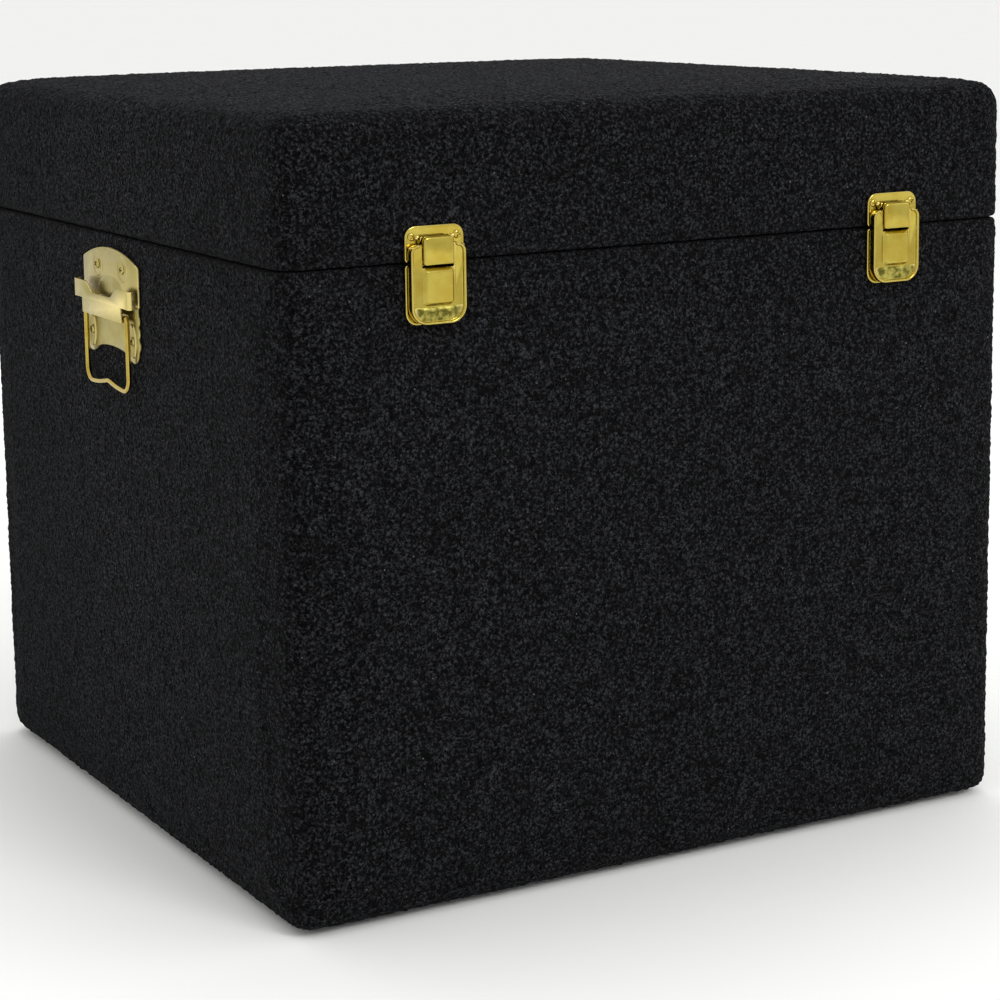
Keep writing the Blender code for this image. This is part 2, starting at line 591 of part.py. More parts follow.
def make_handle(side, sign, cover, panel):
    station = make_station(f"handle_{side}", (sign * HALF_W, 0, SEAM), sign * 90)
    back = GAP
    face = GAP + HANDLE_SHEET
    hole = arc(0, 0, SCREW_HOLE, 0, 330, 12)

    def with_holes(outline, x, z):
        return [outline] + [[(px + s * x, py - z) for px, py in hole] for s in (-1, 1)]

    rise = ARCH_SHOULDER - ARCH_TOP
    arch_radius = (ARCH_HALF_WIDTH ** 2 + rise ** 2) / (2 * rise)
    sweep = math.degrees(math.asin(ARCH_HALF_WIDTH / arch_radius))
    arch = arc(0, -ARCH_TOP - arch_radius, arch_radius, 90, 90 - sweep, 9)
    top_plate = mirrored(arch + [(ARCH_HALF_WIDTH, -PLATE_SPLIT)])
    facing_sheet(f"handle_top_plate_{side}", with_holes(top_plate, TOP_SCREW_X, TOP_SCREW_Z),
                 back, face, station, SATIN_BRASS)

    edge = BRACKET_HALF_WIDTH - 0.0010
    low = FOOT_PLATE_BOTTOM
    foot = [(0, -PLATE_SPLIT - GAP), (edge - 0.0010, -PLATE_SPLIT - GAP)]
    for lobe in range(3):
        foot += arc(edge - 0.0040, -0.0420 - 0.0066 * lobe, 0.0040, 50, -50, 5)
    foot += arc(edge - 0.0095, -low + 0.0070, 0.0070, -10, -110, 6)
    foot += [(0.0160, -low + 0.0030), (0.0, -low + 0.0040)]
    facing_sheet(f"handle_foot_plate_{side}", with_holes(mirrored(foot), FOOT_SCREW_X, FOOT_SCREW_Z),
                 back, face, station, SATIN_BRASS)

    places = [(s * x, -z) for x, z in ((TOP_SCREW_X, TOP_SCREW_Z), (FOOT_SCREW_X, FOOT_SCREW_Z))
              for s in (-1, 1)]
    for number, (x, z) in enumerate(places, 1):
        wood_screw(f"handle_screw_{side}_{number}", x, z, face, HANDLE_HEAD_RADIUS,
                   HANDLE_SCREW_LENGTH, station, SATIN_BRASS)
    holes = screw_holes(f"handle_holes_{side}", places, HANDLE_SCREW_LENGTH, station)
    boolean(cover, holes)
    boolean(panel, holes)
    make_bracket(side, station, face)
    make_bail(side, station)


def make_bracket(side, station, face):
    """The T-shaped bracket in front of the plates, with a saddle for each end of the bail."""
    back = BRACKET_FRONT - HANDLE_SHEET
    floor = -BRACKET_TOP - NOTCH_DEPTH
    outline = mirrored([(0, floor), (NOTCH_FLOOR, floor), (NOTCH_FLOOR + 0.005, floor + 0.001),
                        (NOTCH_TOP - 0.004, -BRACKET_TOP - 0.001), (NOTCH_TOP, -BRACKET_TOP),
                        (BRACKET_HALF_WIDTH, -BRACKET_TOP),
                        (BRACKET_HALF_WIDTH, -BRACKET_EAR_BOTTOM + EAR_TAPER),
                        (BRACKET_STEM, -BRACKET_EAR_BOTTOM), (BRACKET_STEM, -BRACKET_BOTTOM)])
    bracket = facing_sheet(f"handle_bracket_{side}", [outline], back, BRACKET_FRONT, station,
                           SATIN_BRASS)
    overlap = back + HANDLE_SHEET / 2
    inset = HANDLE_SHEET / 4                   # keeps the joined faces off each other's planes
    high = -BRACKET_TOP - NOTCH_DEPTH - inset
    saddle = [(face + GAP, -BRACKET_BOTTOM + inset), (overlap, -BRACKET_BOTTOM + inset),
              (overlap, high), (face + GAP, high)]
    ear_low = -BRACKET_EAR_BOTTOM + EAR_TAPER + inset
    curl = [(face + 0.002, ear_low), (overlap, ear_low),
            (overlap, -BRACKET_TOP - inset), (face + 0.002, -BRACKET_TOP - inset)]
    for number, sign in enumerate((-1, 1), 1):
        ends = sorted((sign * SADDLE_INNER, sign * SADDLE_OUTER))
        boolean(bracket, side_profile(f"saddle_{side}_{number}", [saddle], *ends, station), "UNION")
        edge = BRACKET_HALF_WIDTH - inset
        ends = sorted((sign * (edge - HANDLE_SHEET), sign * edge))
        boolean(bracket, side_profile(f"curl_{side}_{number}", [curl], *ends, station), "UNION")
    boolean(bracket, cross_pin(f"saddle_bore_{side}", BAIL_OUT, -BAIL_PIVOT,
                               WIRE_RADIUS + BORE_CLEARANCE, BRACKET_HALF_WIDTH, station))


def make_bail(side, station):
    """The wire bail: two ends in the saddles, straight legs and a dented bottom."""
    half = BAIL_HALF_WIDTH
    drop = BAIL_BOTTOM - WIRE_RADIUS - BAIL_PIVOT      # wire's lowest centre below its pivot
    points = [(BAIL_STUB_END, 0)]
    points += arc(half - BAIL_BEND, -BAIL_BEND, BAIL_BEND, 90, 0, 5)
    points += arc(half - BAIL_CORNER, -drop + BAIL_CORNER, BAIL_CORNER, 0, -90, 6)
    flat = half - BAIL_CORNER
    for step in range(1, 5):
        across = flat * (1 - step / 4)
        lift = BAIL_DENT * (1 - across / flat) ** 1.5
        points.append((across, -drop + lift))
    path = points + [(-x, z) for x, z in reversed(points[:-1])]
    curve = bpy.data.curves.new(f"handle_bail_{side}", "CURVE")
    curve.dimensions = "3D"
    curve.bevel_depth = WIRE_RADIUS
    curve.bevel_resolution = 2
    curve.use_fill_caps = True
    spline = curve.splines.new("POLY")
    spline.points.add(len(path) - 1)
    for point, (x, z) in zip(spline.points, path):
        point.co = (x, 0, z, 1)
    curve.materials.append(SATIN_BRASS)
    bail = bpy.data.objects.new(f"handle_bail_{side}", curve)
    PARTS.objects.link(bail)
    bail.location = (0, -BAIL_OUT, -BAIL_PIVOT)
    bail.parent = station


def make_hinge(side, sign):
    """A butt hinge on the outside of the back; the lid's leaf has the even knuckles."""
    station = make_station(f"hinge_{side}", (sign * HINGE_OFFSET, HALF_D, SEAM), 180)
    face = GAP + HINGE_SHEET
    reach = BARREL_OUT - face
    start = 180 + math.degrees(math.acos(reach / BARREL_RADIUS))
    barrel = arc(BARREL_OUT, 0, BARREL_RADIUS, start, 540, 15)
    lower = [(GAP, -HINGE_LEAF), (face, -HINGE_LEAF)] + barrel + [(GAP, -0.0010)]
    bore = arc(BARREL_OUT, 0, HINGE_PIN_RADIUS + PIN_CLEARANCE, 0, -337.5, 16)
    half = HINGE_WIDTH / 2
    pitch = HINGE_WIDTH / KNUCKLES
    clear = BARREL_RADIUS + 2 * GAP
    for tag, turn, kept in (("body", 1, 0), ("lid", -1, 1)):
        loops = [[(x, turn * z) for x, z in loop] for loop in (lower, bore)]
        leaf = side_profile(f"hinge_{tag}_leaf_{side}", loops, -half, half, station, BRASS,
                            (BARREL_OUT, 0))
        bm = bmesh.new()
        for knuckle in range(KNUCKLES):
            if knuckle % 2 == kept:
                continue
            left = -half + pitch * knuckle - (GAP / 2 if knuckle else GAP)
            right = -half + pitch * (knuckle + 1) + (GAP / 2 if knuckle < KNUCKLES - 1 else GAP)
            cut = bmesh.ops.create_cube(bm, size=1.0)["verts"]
            bmesh.ops.scale(bm, vec=(right - left, 0.02, 2 * clear), verts=cut)
            bmesh.ops.translate(bm, vec=((left + right) / 2, 0, 0), verts=cut)
        for x in (-HINGE_SCREW_X, HINGE_SCREW_X):
            add_cylinder(bm, SCREW_HOLE, (x, 0, -turn * HINGE_SCREW_Z), 0.02, "Y", 12)
        boolean(leaf, mesh_object(f"leaf_cut_{tag}_{side}", bm, None, (0, 0, 0), station))
    cross_pin(f"hinge_pin_{side}", BARREL_OUT, 0, HINGE_PIN_RADIUS, half, station, BRASS)


def shade_round_pieces():
    for item in PARTS.objects:
        if item.type == "MESH":
            item.data.shade_smooth()
            item.data.set_sharp_from_angle(angle=math.radians(40))


def make_ottoman():
    body_cover, panels = make_body()
    lid_cover, front_rail = make_lid()
    for side, sign in (("left", -1), ("right", 1)):
        make_latch(side, sign, lid_cover, front_rail)
        make_handle(side, sign, body_cover, panels[f"{side}_panel"])
        make_hinge(side, sign)
    shade_round_pieces()
    bpy.context.view_layer.update()


make_ottoman()
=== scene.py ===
import math
import random

import bmesh
import bpy
import numpy as np
from mathutils import Matrix, Vector


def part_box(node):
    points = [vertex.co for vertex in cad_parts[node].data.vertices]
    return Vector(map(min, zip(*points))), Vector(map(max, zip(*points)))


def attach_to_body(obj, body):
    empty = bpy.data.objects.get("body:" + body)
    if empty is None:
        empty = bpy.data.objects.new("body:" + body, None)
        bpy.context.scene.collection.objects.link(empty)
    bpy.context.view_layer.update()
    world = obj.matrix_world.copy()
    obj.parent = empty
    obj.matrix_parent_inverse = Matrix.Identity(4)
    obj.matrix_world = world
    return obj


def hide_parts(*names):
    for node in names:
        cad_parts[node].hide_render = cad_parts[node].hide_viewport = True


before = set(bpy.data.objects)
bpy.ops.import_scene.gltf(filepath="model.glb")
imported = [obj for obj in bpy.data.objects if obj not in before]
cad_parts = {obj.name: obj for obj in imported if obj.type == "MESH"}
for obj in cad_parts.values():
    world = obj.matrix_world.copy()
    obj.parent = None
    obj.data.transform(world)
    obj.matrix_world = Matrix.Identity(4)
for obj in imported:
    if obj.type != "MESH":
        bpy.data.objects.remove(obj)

# A fabric-covered storage box with a hinged lid, two draw latches on the front and a
# drop handle on each side. All lengths below are millimetres; mm turns them into metres.
mm = 0.001
scene = bpy.context.scene
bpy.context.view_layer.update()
bodyLow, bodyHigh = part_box("body_cover")
lidLow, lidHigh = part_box("lid_cover")
seamHeight = (bodyHigh.z + lidLow.z) / 2 / mm
halfWide = bodyHigh.x / mm
halfDeep = bodyHigh.y / mm
sides = (("left", -1), ("right", 1))


def linearColour(code):
    # sRGB hex to the linear values that shaders take
    parts = [int(code[i:i + 2], 16) / 255 for i in (1, 3, 5)]
    return tuple(p / 12.92 if p <= 0.04045 else ((p + 0.055) / 1.055) ** 2.4 for p in parts) + (1.0,)


def addNode(tree, kind, inputs=None, give=None, stops=(), **settings):
    # One node with its settings; an input given a socket is linked, anything else is its value.
    # give names the output to hand back, and stops are a ramp's (position, hex code or grey level).
    made = tree.nodes.new(kind)
    for key, value in settings.items():
        setattr(made, key, value)
    for key, value in (inputs or {}).items():
        if isinstance(value, bpy.types.NodeSocket):
            tree.links.new(value, made.inputs[key])
        else:
            made.inputs[key].default_value = value
    for number, (place, colour) in enumerate(stops):
        steps = made.color_ramp.elements
        step = steps[number] if number < len(steps) else steps.new(1.0)
        step.position = place
        step.color = linearColour(colour) if isinstance(colour, str) else (colour, colour, colour, 1)
    return made if give is None else made.outputs[give]


def newMaterial(name, **values):
    # A new material, its tree, its shader and the sockets of its own coordinates
    made = bpy.data.materials.new(name)
    made.use_nodes = True
    tree = made.node_tree
    shader = tree.nodes["Principled BSDF"]
    for key, value in values.items():
        shader.inputs[key.replace("_", " ")].default_value = value
    return made, tree, shader, addNode(tree, "ShaderNodeTexCoord").outputs


def dress(tree, shader, colour, roughness, normal):
    # What the finish varies over the surface goes into the shader
    for key, socket in (("Base Color", colour), ("Roughness", roughness), ("Normal", normal)):
        tree.links.new(socket, shader.inputs[key])


def placeObject(name, data):
    made = bpy.data.objects.new(name, data)
    scene.collection.objects.link(made)
    return made


def makePiece(name, bm, *materials, sharp=38):
    bmesh.ops.recalc_face_normals(bm, faces=bm.faces[:])
    mesh = bpy.data.meshes.new(name)
    bm.to_mesh(mesh)
    bm.free()
    piece = placeObject(name, mesh)
    for material in materials:
        mesh.materials.append(material)
    shadeRound(mesh, sharp)
    return piece


def shadeRound(mesh, sharp):
    mesh.shade_smooth()
    if sharp:
        mesh.set_sharp_from_angle(angle=math.radians(sharp))


def attach(piece, body, slotName, *nodes):
    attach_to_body(piece, body)
    if nodes:
        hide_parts(*nodes)


def plainMesh(piece):
    # Turn what the modifiers make into the piece's own mesh, and drop the modifiers
    graph = bpy.context.evaluated_depsgraph_get()
    mesh = bpy.data.meshes.new_from_object(piece.evaluated_get(graph))
    old = piece.data
    piece.modifiers.clear()
    piece.data = mesh
    bpy.data.meshes.remove(old)
    mesh.name = piece.name
    return piece


def arcPoints(x, y, radius, start, end, count):
    turn = [math.radians(start + (end - start) * i / (count - 1)) for i in range(count)]
    return [(x + radius * math.cos(a), y + radius * math.sin(a)) for a in turn]


def roundedRect(half, low, high, lowRadius, highRadius, count=9):
    # Counterclockwise, starting at the lower right corner
    points = arcPoints(half - lowRadius, low + lowRadius, lowRadius, -90, 0, count)
    points += arcPoints(half - highRadius, high - highRadius, highRadius, 0, 90, count)
    points += arcPoints(-half + highRadius, high - highRadius, highRadius, 90, 180, count)
    return points + arcPoints(-half + lowRadius, low + lowRadius, lowRadius, 180, 270, count)


def shrink(outline, distance, shares=None):
    # Every edge of a counterclockwise outline moves inwards, by a share of distance if given
    result = []
    count = len(outline)
    for i in range(count):
        reach = distance * (shares[i] if shares else 1)
        here = Vector(outline[i])
        before = (here - Vector(outline[i - 1])).normalized()
        after = (Vector(outline[(i + 1) % count]) - here).normalized()
        first, second = Vector((-before.y, before.x)), Vector((-after.y, after.x))
        result.append(tuple(here + (first + second) * reach / max(0.3, 1 + first.dot(second))))
    return result


def loft(bm, rings, caps=True):
    # Quads between rings that hold equally many points, with a face over each end
    rows = [[bm.verts.new(point) for point in ring] for ring in rings]
    count = len(rows[0])
    for low, high in zip(rows, rows[1:]):
        for i in range(count):
            j = (i + 1) % count
            bm.faces.new((low[i], low[j], high[j], high[i]))
    if caps:
        bm.faces.new(rows[0][::-1])
        bm.faces.new(rows[-1])


def pressed(bm, put, outline, profile):
    # A sheet parallel to the wall; profile steps are (inset from the outline, distance out)
    loft(bm, [[put(x, out, up) for x, up in shrink(outline, inset)] for inset, out in profile])


def acrossPiece(bm, put, outline, left, right, ease=0.2):
    # An outline of (out, up) points carried across the fitting, its ends eased
    steps = ((left, ease), (left + ease, 0), (right - ease, 0), (right, ease))
    loft(bm, [[put(x, out, up) for out, up in shrink(outline, inset)] for x, inset in steps])


def strip(path, thickness):
    # The outline of a bent strip of sheet that follows a path of points
    left, right = [], []
    for i, point in enumerate(path):
        here = Vector(point)
        ahead = Vector(path[min(i + 1, len(path) - 1)]) - Vector(path[max(i - 1, 0)])
        side = Vector((-ahead.y, ahead.x)).normalized() * thickness / 2
        left.append(tuple(here + side))
        right.append(tuple(here - side))
    return right + left[::-1]


def turnedPiece(bm, put, x, up, profile, steps=24):
    # A turned form whose axis points straight out; profile steps are (radius, distance out)
    turn = [2 * math.pi * i / steps for i in range(steps)]
    loft(bm, [[put(x + r * math.cos(a), out, up + r * math.sin(a)) for a in turn]
              for r, out in profile])


def tube(bm, path, radius, sides=12):
    # A round wire through 3-D points, its ends slightly domed
    spots = [Vector(p) for p in path]
    ahead = [(b - a).normalized() for a, b in zip(spots, spots[1:])]
    ahead = [ahead[0]] + [(a + b).normalized() for a, b in zip(ahead, ahead[1:])] + [ahead[-1]]
    up = ahead[0].orthogonal().normalized()
    rings = []
    for place, spot in enumerate(spots):
        up = (up - ahead[place] * up.dot(ahead[place])).normalized()
        side = ahead[place].cross(up)
        ring = [(math.cos(2 * math.pi * i / sides), math.sin(2 * math.pi * i / sides))
                for i in range(sides)]
        ends = ((0.0, 1.0),)
        if place == 0:
            ends = ((-0.35, 0.55), (0.0, 1.0))
        elif place == len(spots) - 1:
            ends = ((0.0, 1.0), (0.35, 0.55))
        for shift, share in ends:
            middle = spot + ahead[place] * radius * shift
            rings.append([middle + (up * c + side * s) * radius * share for c, s in ring])
    loft(bm, rings)


def makePin(name, put, half, out, up, radius, body, node, around=16):
    bm = bmesh.new()
    tube(bm, [put(x, out, up) for x in (-half, -half / 3, half / 3, half)], radius * mm, around)
    attach(makePiece(name, bm, polishedBrass), body, "polished_brass", node)


def fittingAt(x, y, angle):
    # put(across, out, up) for a fitting on a wall; up is measured from the seam
    across = Vector((math.cos(math.radians(angle)), math.sin(math.radians(angle)), 0)) * mm
    outward = Vector((math.sin(math.radians(angle)), -math.cos(math.radians(angle)), 0)) * mm
    origin = Vector((x, y, seamHeight)) * mm
    return lambda a, out, up: origin + across * a + outward * out + Vector((0, 0, up * mm))


def midX(node):
    low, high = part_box(node)
    return (low.x + high.x) / 2 / mm


latchAt = {side: fittingAt(midX(f"latch_base_{side}"), -halfDeep, 0) for side, _ in sides}
handleAt = {side: fittingAt(sign * halfWide, 0, sign * 90) for side, sign in sides}
hingeAt = {side: fittingAt(midX(f"hinge_pin_{side}"), halfDeep, 180) for side, _ in sides}


studio = {
    "lens": 92.4,                    # on a 36 mm sensor
    "place": (-0.7044, -1.2782, 0.4677),
    "heading": 29.47,                # degrees the camera looks right of +Y
    "tilt": 9.82,                    # degrees it looks down
    "roll": -0.79,
    "shift": -0.10,
    "floor": "#F1F1EF", "floorWorn": "#F5F5F3",
    "sky": 1.0,                      # how white the backdrop looks
    "surround": 0.98,                # how strongly it lights the object
    "reach": 120.0,                  # half the floor's width, in metres
    "aim": (0, 0, 0.2),              # where the lamps point
    # name, place, size in metres, power in watts
    "lamps": (("key", (0.5, -2.4, 1.9), 1.2, 26), ("fill", (2.2, -1.6, 1.2), 1.4, 3),
              ("top", (0.2, 0.7, 2.6), 1.6, 14)),
}


def makeStudio():
    data = bpy.data.cameras.new("camera")
    data.lens = studio["lens"]
    data.sensor_width = 36
    data.shift_y = studio["shift"]
    data.dof.use_dof = False
    data.clip_start = 0.02
    camera = placeObject("camera", data)
    heading = Matrix.Rotation(math.radians(-studio["heading"]), 4, "Z")
    tilt = Matrix.Rotation(math.radians(90 - studio["tilt"]), 4, "X")
    roll = Matrix.Rotation(math.radians(studio["roll"]), 4, "Z")
    camera.matrix_world = Matrix.Translation(studio["place"]) @ heading @ tilt @ roll
    scene.camera = camera

    material, tree, shader, spots = newMaterial("painted studio floor", Roughness=0.9)
    grain = addNode(tree, "ShaderNodeTexNoise", {"Vector": spots["Object"], "Scale": 6.0}, "Fac")
    tint = addNode(tree, "ShaderNodeValToRGB", {"Fac": grain}, "Color",
                   ((0.0, studio["floor"]), (1.0, studio["floorWorn"])))
    tree.links.new(tint, shader.inputs["Base Color"])
    bm = bmesh.new()
    bmesh.ops.create_grid(bm, x_segments=1, y_segments=1, size=studio["reach"])
    makePiece("studio_floor", bm, material)

    world = bpy.data.worlds.new("studio")
    scene.world = world
    world.use_nodes = True
    sky = world.node_tree.nodes["Background"]
    seen = addNode(world.node_tree, "ShaderNodeLightPath", give="Is Camera Ray")
    level = addNode(world.node_tree, "ShaderNodeMapRange",
                    {"Value": seen, "To Min": studio["surround"], "To Max": studio["sky"]}, 0)
    world.node_tree.links.new(level, sky.inputs["Strength"])
    sky.inputs["Color"].default_value = (1, 1, 1, 1)
    for name, spot, size, power in studio["lamps"]:
        data = bpy.data.lights.new(name, "AREA")
        data.shape = "DISK"
        data.size = size
        data.energy = power
        lamp = placeObject(name, data)
        lamp.location = spot
        aim = Vector(studio["aim"]) - Vector(spot)
        lamp.rotation_euler = aim.to_track_quat("-Z", "Y").to_euler()
    scene.view_settings.view_transform = "Standard"


makeStudio()
print("studio ready")


boucle = {
    # the darkest stop is painted shade in the hollows, the greyest stop a painted highlight on the
    # crests; yarn and lint are the knit's own colours
    "valley": "#010101", "yarn": "#0C0C0D", "crest": "#3A3B3F", "lint": "#5A5A5C",
    "loop": 1.9,                     # a curl of yarn, as coarse as the real one
    "clump": 6.5,                    # a knot of several curls
    "column": 2.6,                   # one wale of the knitted ground
    "bendSize": 2.6, "bend": 1.0,    # how the curls wander
    "fibre": 0.7,                    # loose fibres on the yarn
    "lintPitch": 9.0,                # about one speck of lint in this width
    "depth": 1.1,                    # relief that only the shading shows
}


def makeBoucle():
    # Looped boucle knit: matt dyed polyester curls over a knitted ground, a pebbly, light-swallowing
    # black with a soft haze at grazing angles; its colour also carries painted shade in the hollows and
    # painted highlight on greyer crests.
    s = boucle
    material, tree, shader, spots = newMaterial(
        "black boucle knit", Roughness=0.92, Specular_IOR_Level=0.05, Sheen_Weight=0.02,
        Sheen_Roughness=0.4, Sheen_Tint=linearColour("#B9BCC4"))
    place = spots["Object"]
    bend = addNode(tree, "ShaderNodeTexNoise",
                   {"Vector": place, "Scale": 1 / (s["bendSize"] * mm), "Detail": 0.0}).outputs
    sway = addNode(tree, "ShaderNodeVectorMath", {0: bend["Color"], 1: (0.5, 0.5, 0.5)}, 0,
                   operation="SUBTRACT")
    curled = addNode(tree, "ShaderNodeVectorMath", {0: sway, 1: (s["bend"] * mm,) * 3, 2: place}, 0,
                     operation="MULTIPLY_ADD")
    # curls of yarn: the ridges of a folded noise run like short crooked threads
    folds = addNode(tree, "ShaderNodeTexNoise",
                    {"Vector": curled, "Scale": 1 / (s["loop"] * mm), "Detail": 1.0}, "Fac")
    ridge = addNode(tree, "ShaderNodeMath", {0: folds, 1: 0.5}, 0, operation="SUBTRACT")
    ridge = addNode(tree, "ShaderNodeMath", {0: ridge}, 0, operation="ABSOLUTE")
    thread = addNode(tree, "ShaderNodeMath", {0: ridge, 1: -5.0, 2: 1.0}, 0,
                     operation="MULTIPLY_ADD", use_clamp=True)
    pebble = addNode(tree, "ShaderNodeTexVoronoi",
                     {"Vector": curled, "Scale": 1 / (s["loop"] * mm), "Smoothness": 0.5},
                     "Distance", feature="SMOOTH_F1")
    mound = addNode(tree, "ShaderNodeMath", {0: 1.0, 1: pebble}, 0, operation="SUBTRACT",
                    use_clamp=True)
    clump = addNode(tree, "ShaderNodeTexNoise",
                    {"Vector": place, "Scale": 1 / (s["clump"] * mm), "Detail": 1.0}, "Fac")
    # wales of the ground show faintly as upright columns on the walls
    along = addNode(tree, "ShaderNodeSeparateXYZ", {0: place}).outputs
    facing = addNode(tree, "ShaderNodeSeparateXYZ", {0: spots["Normal"]}, "Z")
    level = addNode(tree, "ShaderNodeMath", {0: facing}, 0, operation="ABSOLUTE")
    upright = addNode(tree, "ShaderNodeMath", {0: 1.0, 1: level}, 0, operation="SUBTRACT",
                      use_clamp=True)
    girth = addNode(tree, "ShaderNodeMath", {0: along["Y"], 1: upright, 2: along["X"]}, 0,
                     operation="MULTIPLY_ADD")
    wander = addNode(tree, "ShaderNodeMath", {0: bend["Fac"], 1: 1.4 * mm, 2: girth}, 0,
                     operation="MULTIPLY_ADD")
    phase = addNode(tree, "ShaderNodeMath", {0: wander, 1: 2 * math.pi / (s["column"] * mm)}, 0,
                    operation="MULTIPLY")
    wale = addNode(tree, "ShaderNodeMath", {0: phase}, 0, operation="SINE")
    fibre = addNode(tree, "ShaderNodeTexNoise",
                    {"Vector": place, "Scale": 1 / (s["fibre"] * mm), "Detail": 0.0}, "Fac")
    relief = 0.0
    for layer, share in ((thread, 0.45), (mound, 0.6), (wale, 0.06), (clump, 0.16), (fibre, 0.22)):
        relief = addNode(tree, "ShaderNodeMath", {0: layer, 1: share, 2: relief}, 0,
                         operation="MULTIPLY_ADD")
    shade = addNode(tree, "ShaderNodeMath", {0: relief, 1: 1.4}, 0, operation="DIVIDE")
    # painted shade and highlight: the relief sets the colour, near black in the hollows and grey on the
    # crests
    colour = addNode(tree, "ShaderNodeValToRGB", {"Fac": shade}, "Color",
                     ((0.36, s["valley"]), (0.56, s["yarn"]), (0.86, s["crest"])))
    # a speck of pale lint here and there
    lint = addNode(tree, "ShaderNodeTexVoronoi",
                   {"Vector": curled, "Scale": 1 / (s["lintPitch"] * mm)}, "Distance", feature="F1")
    speck = addNode(tree, "ShaderNodeValToRGB", {"Fac": lint}, "Color", ((0.035, 1.0), (0.055, 0.0)))
    mixed = addNode(tree, "ShaderNodeMix", {0: speck, 6: colour, 7: linearColour(s["lint"])}, 2,
                    data_type="RGBA")
    rough = addNode(tree, "ShaderNodeMapRange",
                    {"Value": relief, "From Max": 1.5, "To Min": 1.0, "To Max": 0.82}, 0)
    bump = addNode(tree, "ShaderNodeBump", {"Height": relief, "Distance": s["depth"] * mm,
                                            "Strength": 1.0}, 0)
    dress(tree, shader, mixed, rough, bump)
    return material


def makeBrass(name, base, warm, low, high, grain, patch=9.0):
    # Pressed steel plated with brass. Polished, it mirrors its surroundings with a faint
    # orange peel; satin, it was tumbled, which spreads the highlight and pales the gold.
    material, tree, shader, spots = newMaterial(name, Metallic=1.0)
    place = spots["Object"]
    cloud = addNode(tree, "ShaderNodeTexNoise",
                    {"Vector": place, "Scale": 1 / (patch * mm), "Detail": 3.0}, "Fac")
    tint = addNode(tree, "ShaderNodeValToRGB", {"Fac": cloud}, "Color", ((0.38, base), (0.62, warm)))
    # edges are painted paler: partly the flash under rubbed lacquer, partly a painted highlight for the
    # light the edges catch
    edge = addNode(tree, "ShaderNodeNewGeometry", give="Pointiness")
    edgeWearAndHighlight = addNode(tree, "ShaderNodeMapRange", {"Value": edge, "From Min": 0.53, "From Max": 0.62}, 0)
    mixed = addNode(tree, "ShaderNodeMix", {0: edgeWearAndHighlight, 6: tint, 7: linearColour("#EBD78C")}, 2,
                    data_type="RGBA")
    haze = addNode(tree, "ShaderNodeTexNoise",
                   {"Vector": place, "Scale": 1 / (2.5 * mm), "Detail": 4.0}, "Fac")
    rough = addNode(tree, "ShaderNodeMapRange", {"Value": haze, "From Min": 0.3, "From Max": 0.7,
                                                 "To Min": low, "To Max": high}, 0)
    peel = addNode(tree, "ShaderNodeTexNoise",
                   {"Vector": place, "Scale": 1 / (grain * mm), "Detail": 1.0}, "Fac")
    bump = addNode(tree, "ShaderNodeBump", {"Height": peel, "Distance": 0.02 * mm, "Strength": 0.5}, 0)
    dress(tree, shader, mixed, rough, bump)
    return material


def makeWeave(name, dark, light, pitch, sheen):
    # Plain-woven polyester: over-and-under threads give a fine check, painted into the colour as tiny
    # highlights on the raised threads and painted shade between them
    material, tree, shader, spots = newMaterial(
        name, Specular_IOR_Level=0.25, Sheen_Weight=sheen, Sheen_Roughness=0.4)
    place = addNode(tree, "ShaderNodeSeparateXYZ", {0: spots["Object"]}).outputs
    facing = addNode(tree, "ShaderNodeSeparateXYZ", {0: spots["Normal"]}, "Z")
    tilt = addNode(tree, "ShaderNodeMath", {0: facing}, 0, operation="ABSOLUTE")
    flat = addNode(tree, "ShaderNodeMath", {0: tilt, 1: 0.7}, 0, operation="GREATER_THAN")
    wall = addNode(tree, "ShaderNodeMath", {0: 1.0, 1: flat}, 0, operation="SUBTRACT")
    across = addNode(tree, "ShaderNodeMath", {0: place["Y"], 1: wall, 2: place["X"]}, 0,
                     operation="MULTIPLY_ADD")
    rise = addNode(tree, "ShaderNodeMath", {0: place["Z"], 1: wall}, 0, operation="MULTIPLY")
    along = addNode(tree, "ShaderNodeMath", {0: place["Y"], 1: flat, 2: rise}, 0,
                    operation="MULTIPLY_ADD")
    threads = []
    for way in (across, along):
        phase = addNode(tree, "ShaderNodeMath", {0: way, 1: 2 * math.pi / (pitch * mm)}, 0,
                        operation="MULTIPLY")
        threads.append(addNode(tree, "ShaderNodeMath", {0: phase}, 0, operation="SINE"))
    over = addNode(tree, "ShaderNodeMath", {0: threads[0], 1: threads[1]}, 0, operation="MULTIPLY")
    slub = addNode(tree, "ShaderNodeTexNoise",
                   {"Vector": spots["Object"], "Scale": 1 / (4 * mm), "Detail": 3.0}, "Fac")
    height = addNode(tree, "ShaderNodeMath", {0: over, 1: 0.35, 2: slub}, 0, operation="MULTIPLY_ADD")
    # painted highlight and shade: the raised threads are painted lighter and the low ones darker
    colour = addNode(tree, "ShaderNodeValToRGB", {"Fac": height}, "Color", ((0.2, dark), (0.9, light)))
    rough = addNode(tree, "ShaderNodeMapRange", {"Value": height, "To Min": 0.9, "To Max": 0.7}, 0)
    bump = addNode(tree, "ShaderNodeBump", {"Height": height, "Distance": 0.25 * mm, "Strength": 0.8}, 0)
    dress(tree, shader, colour, rough, bump)
    return material


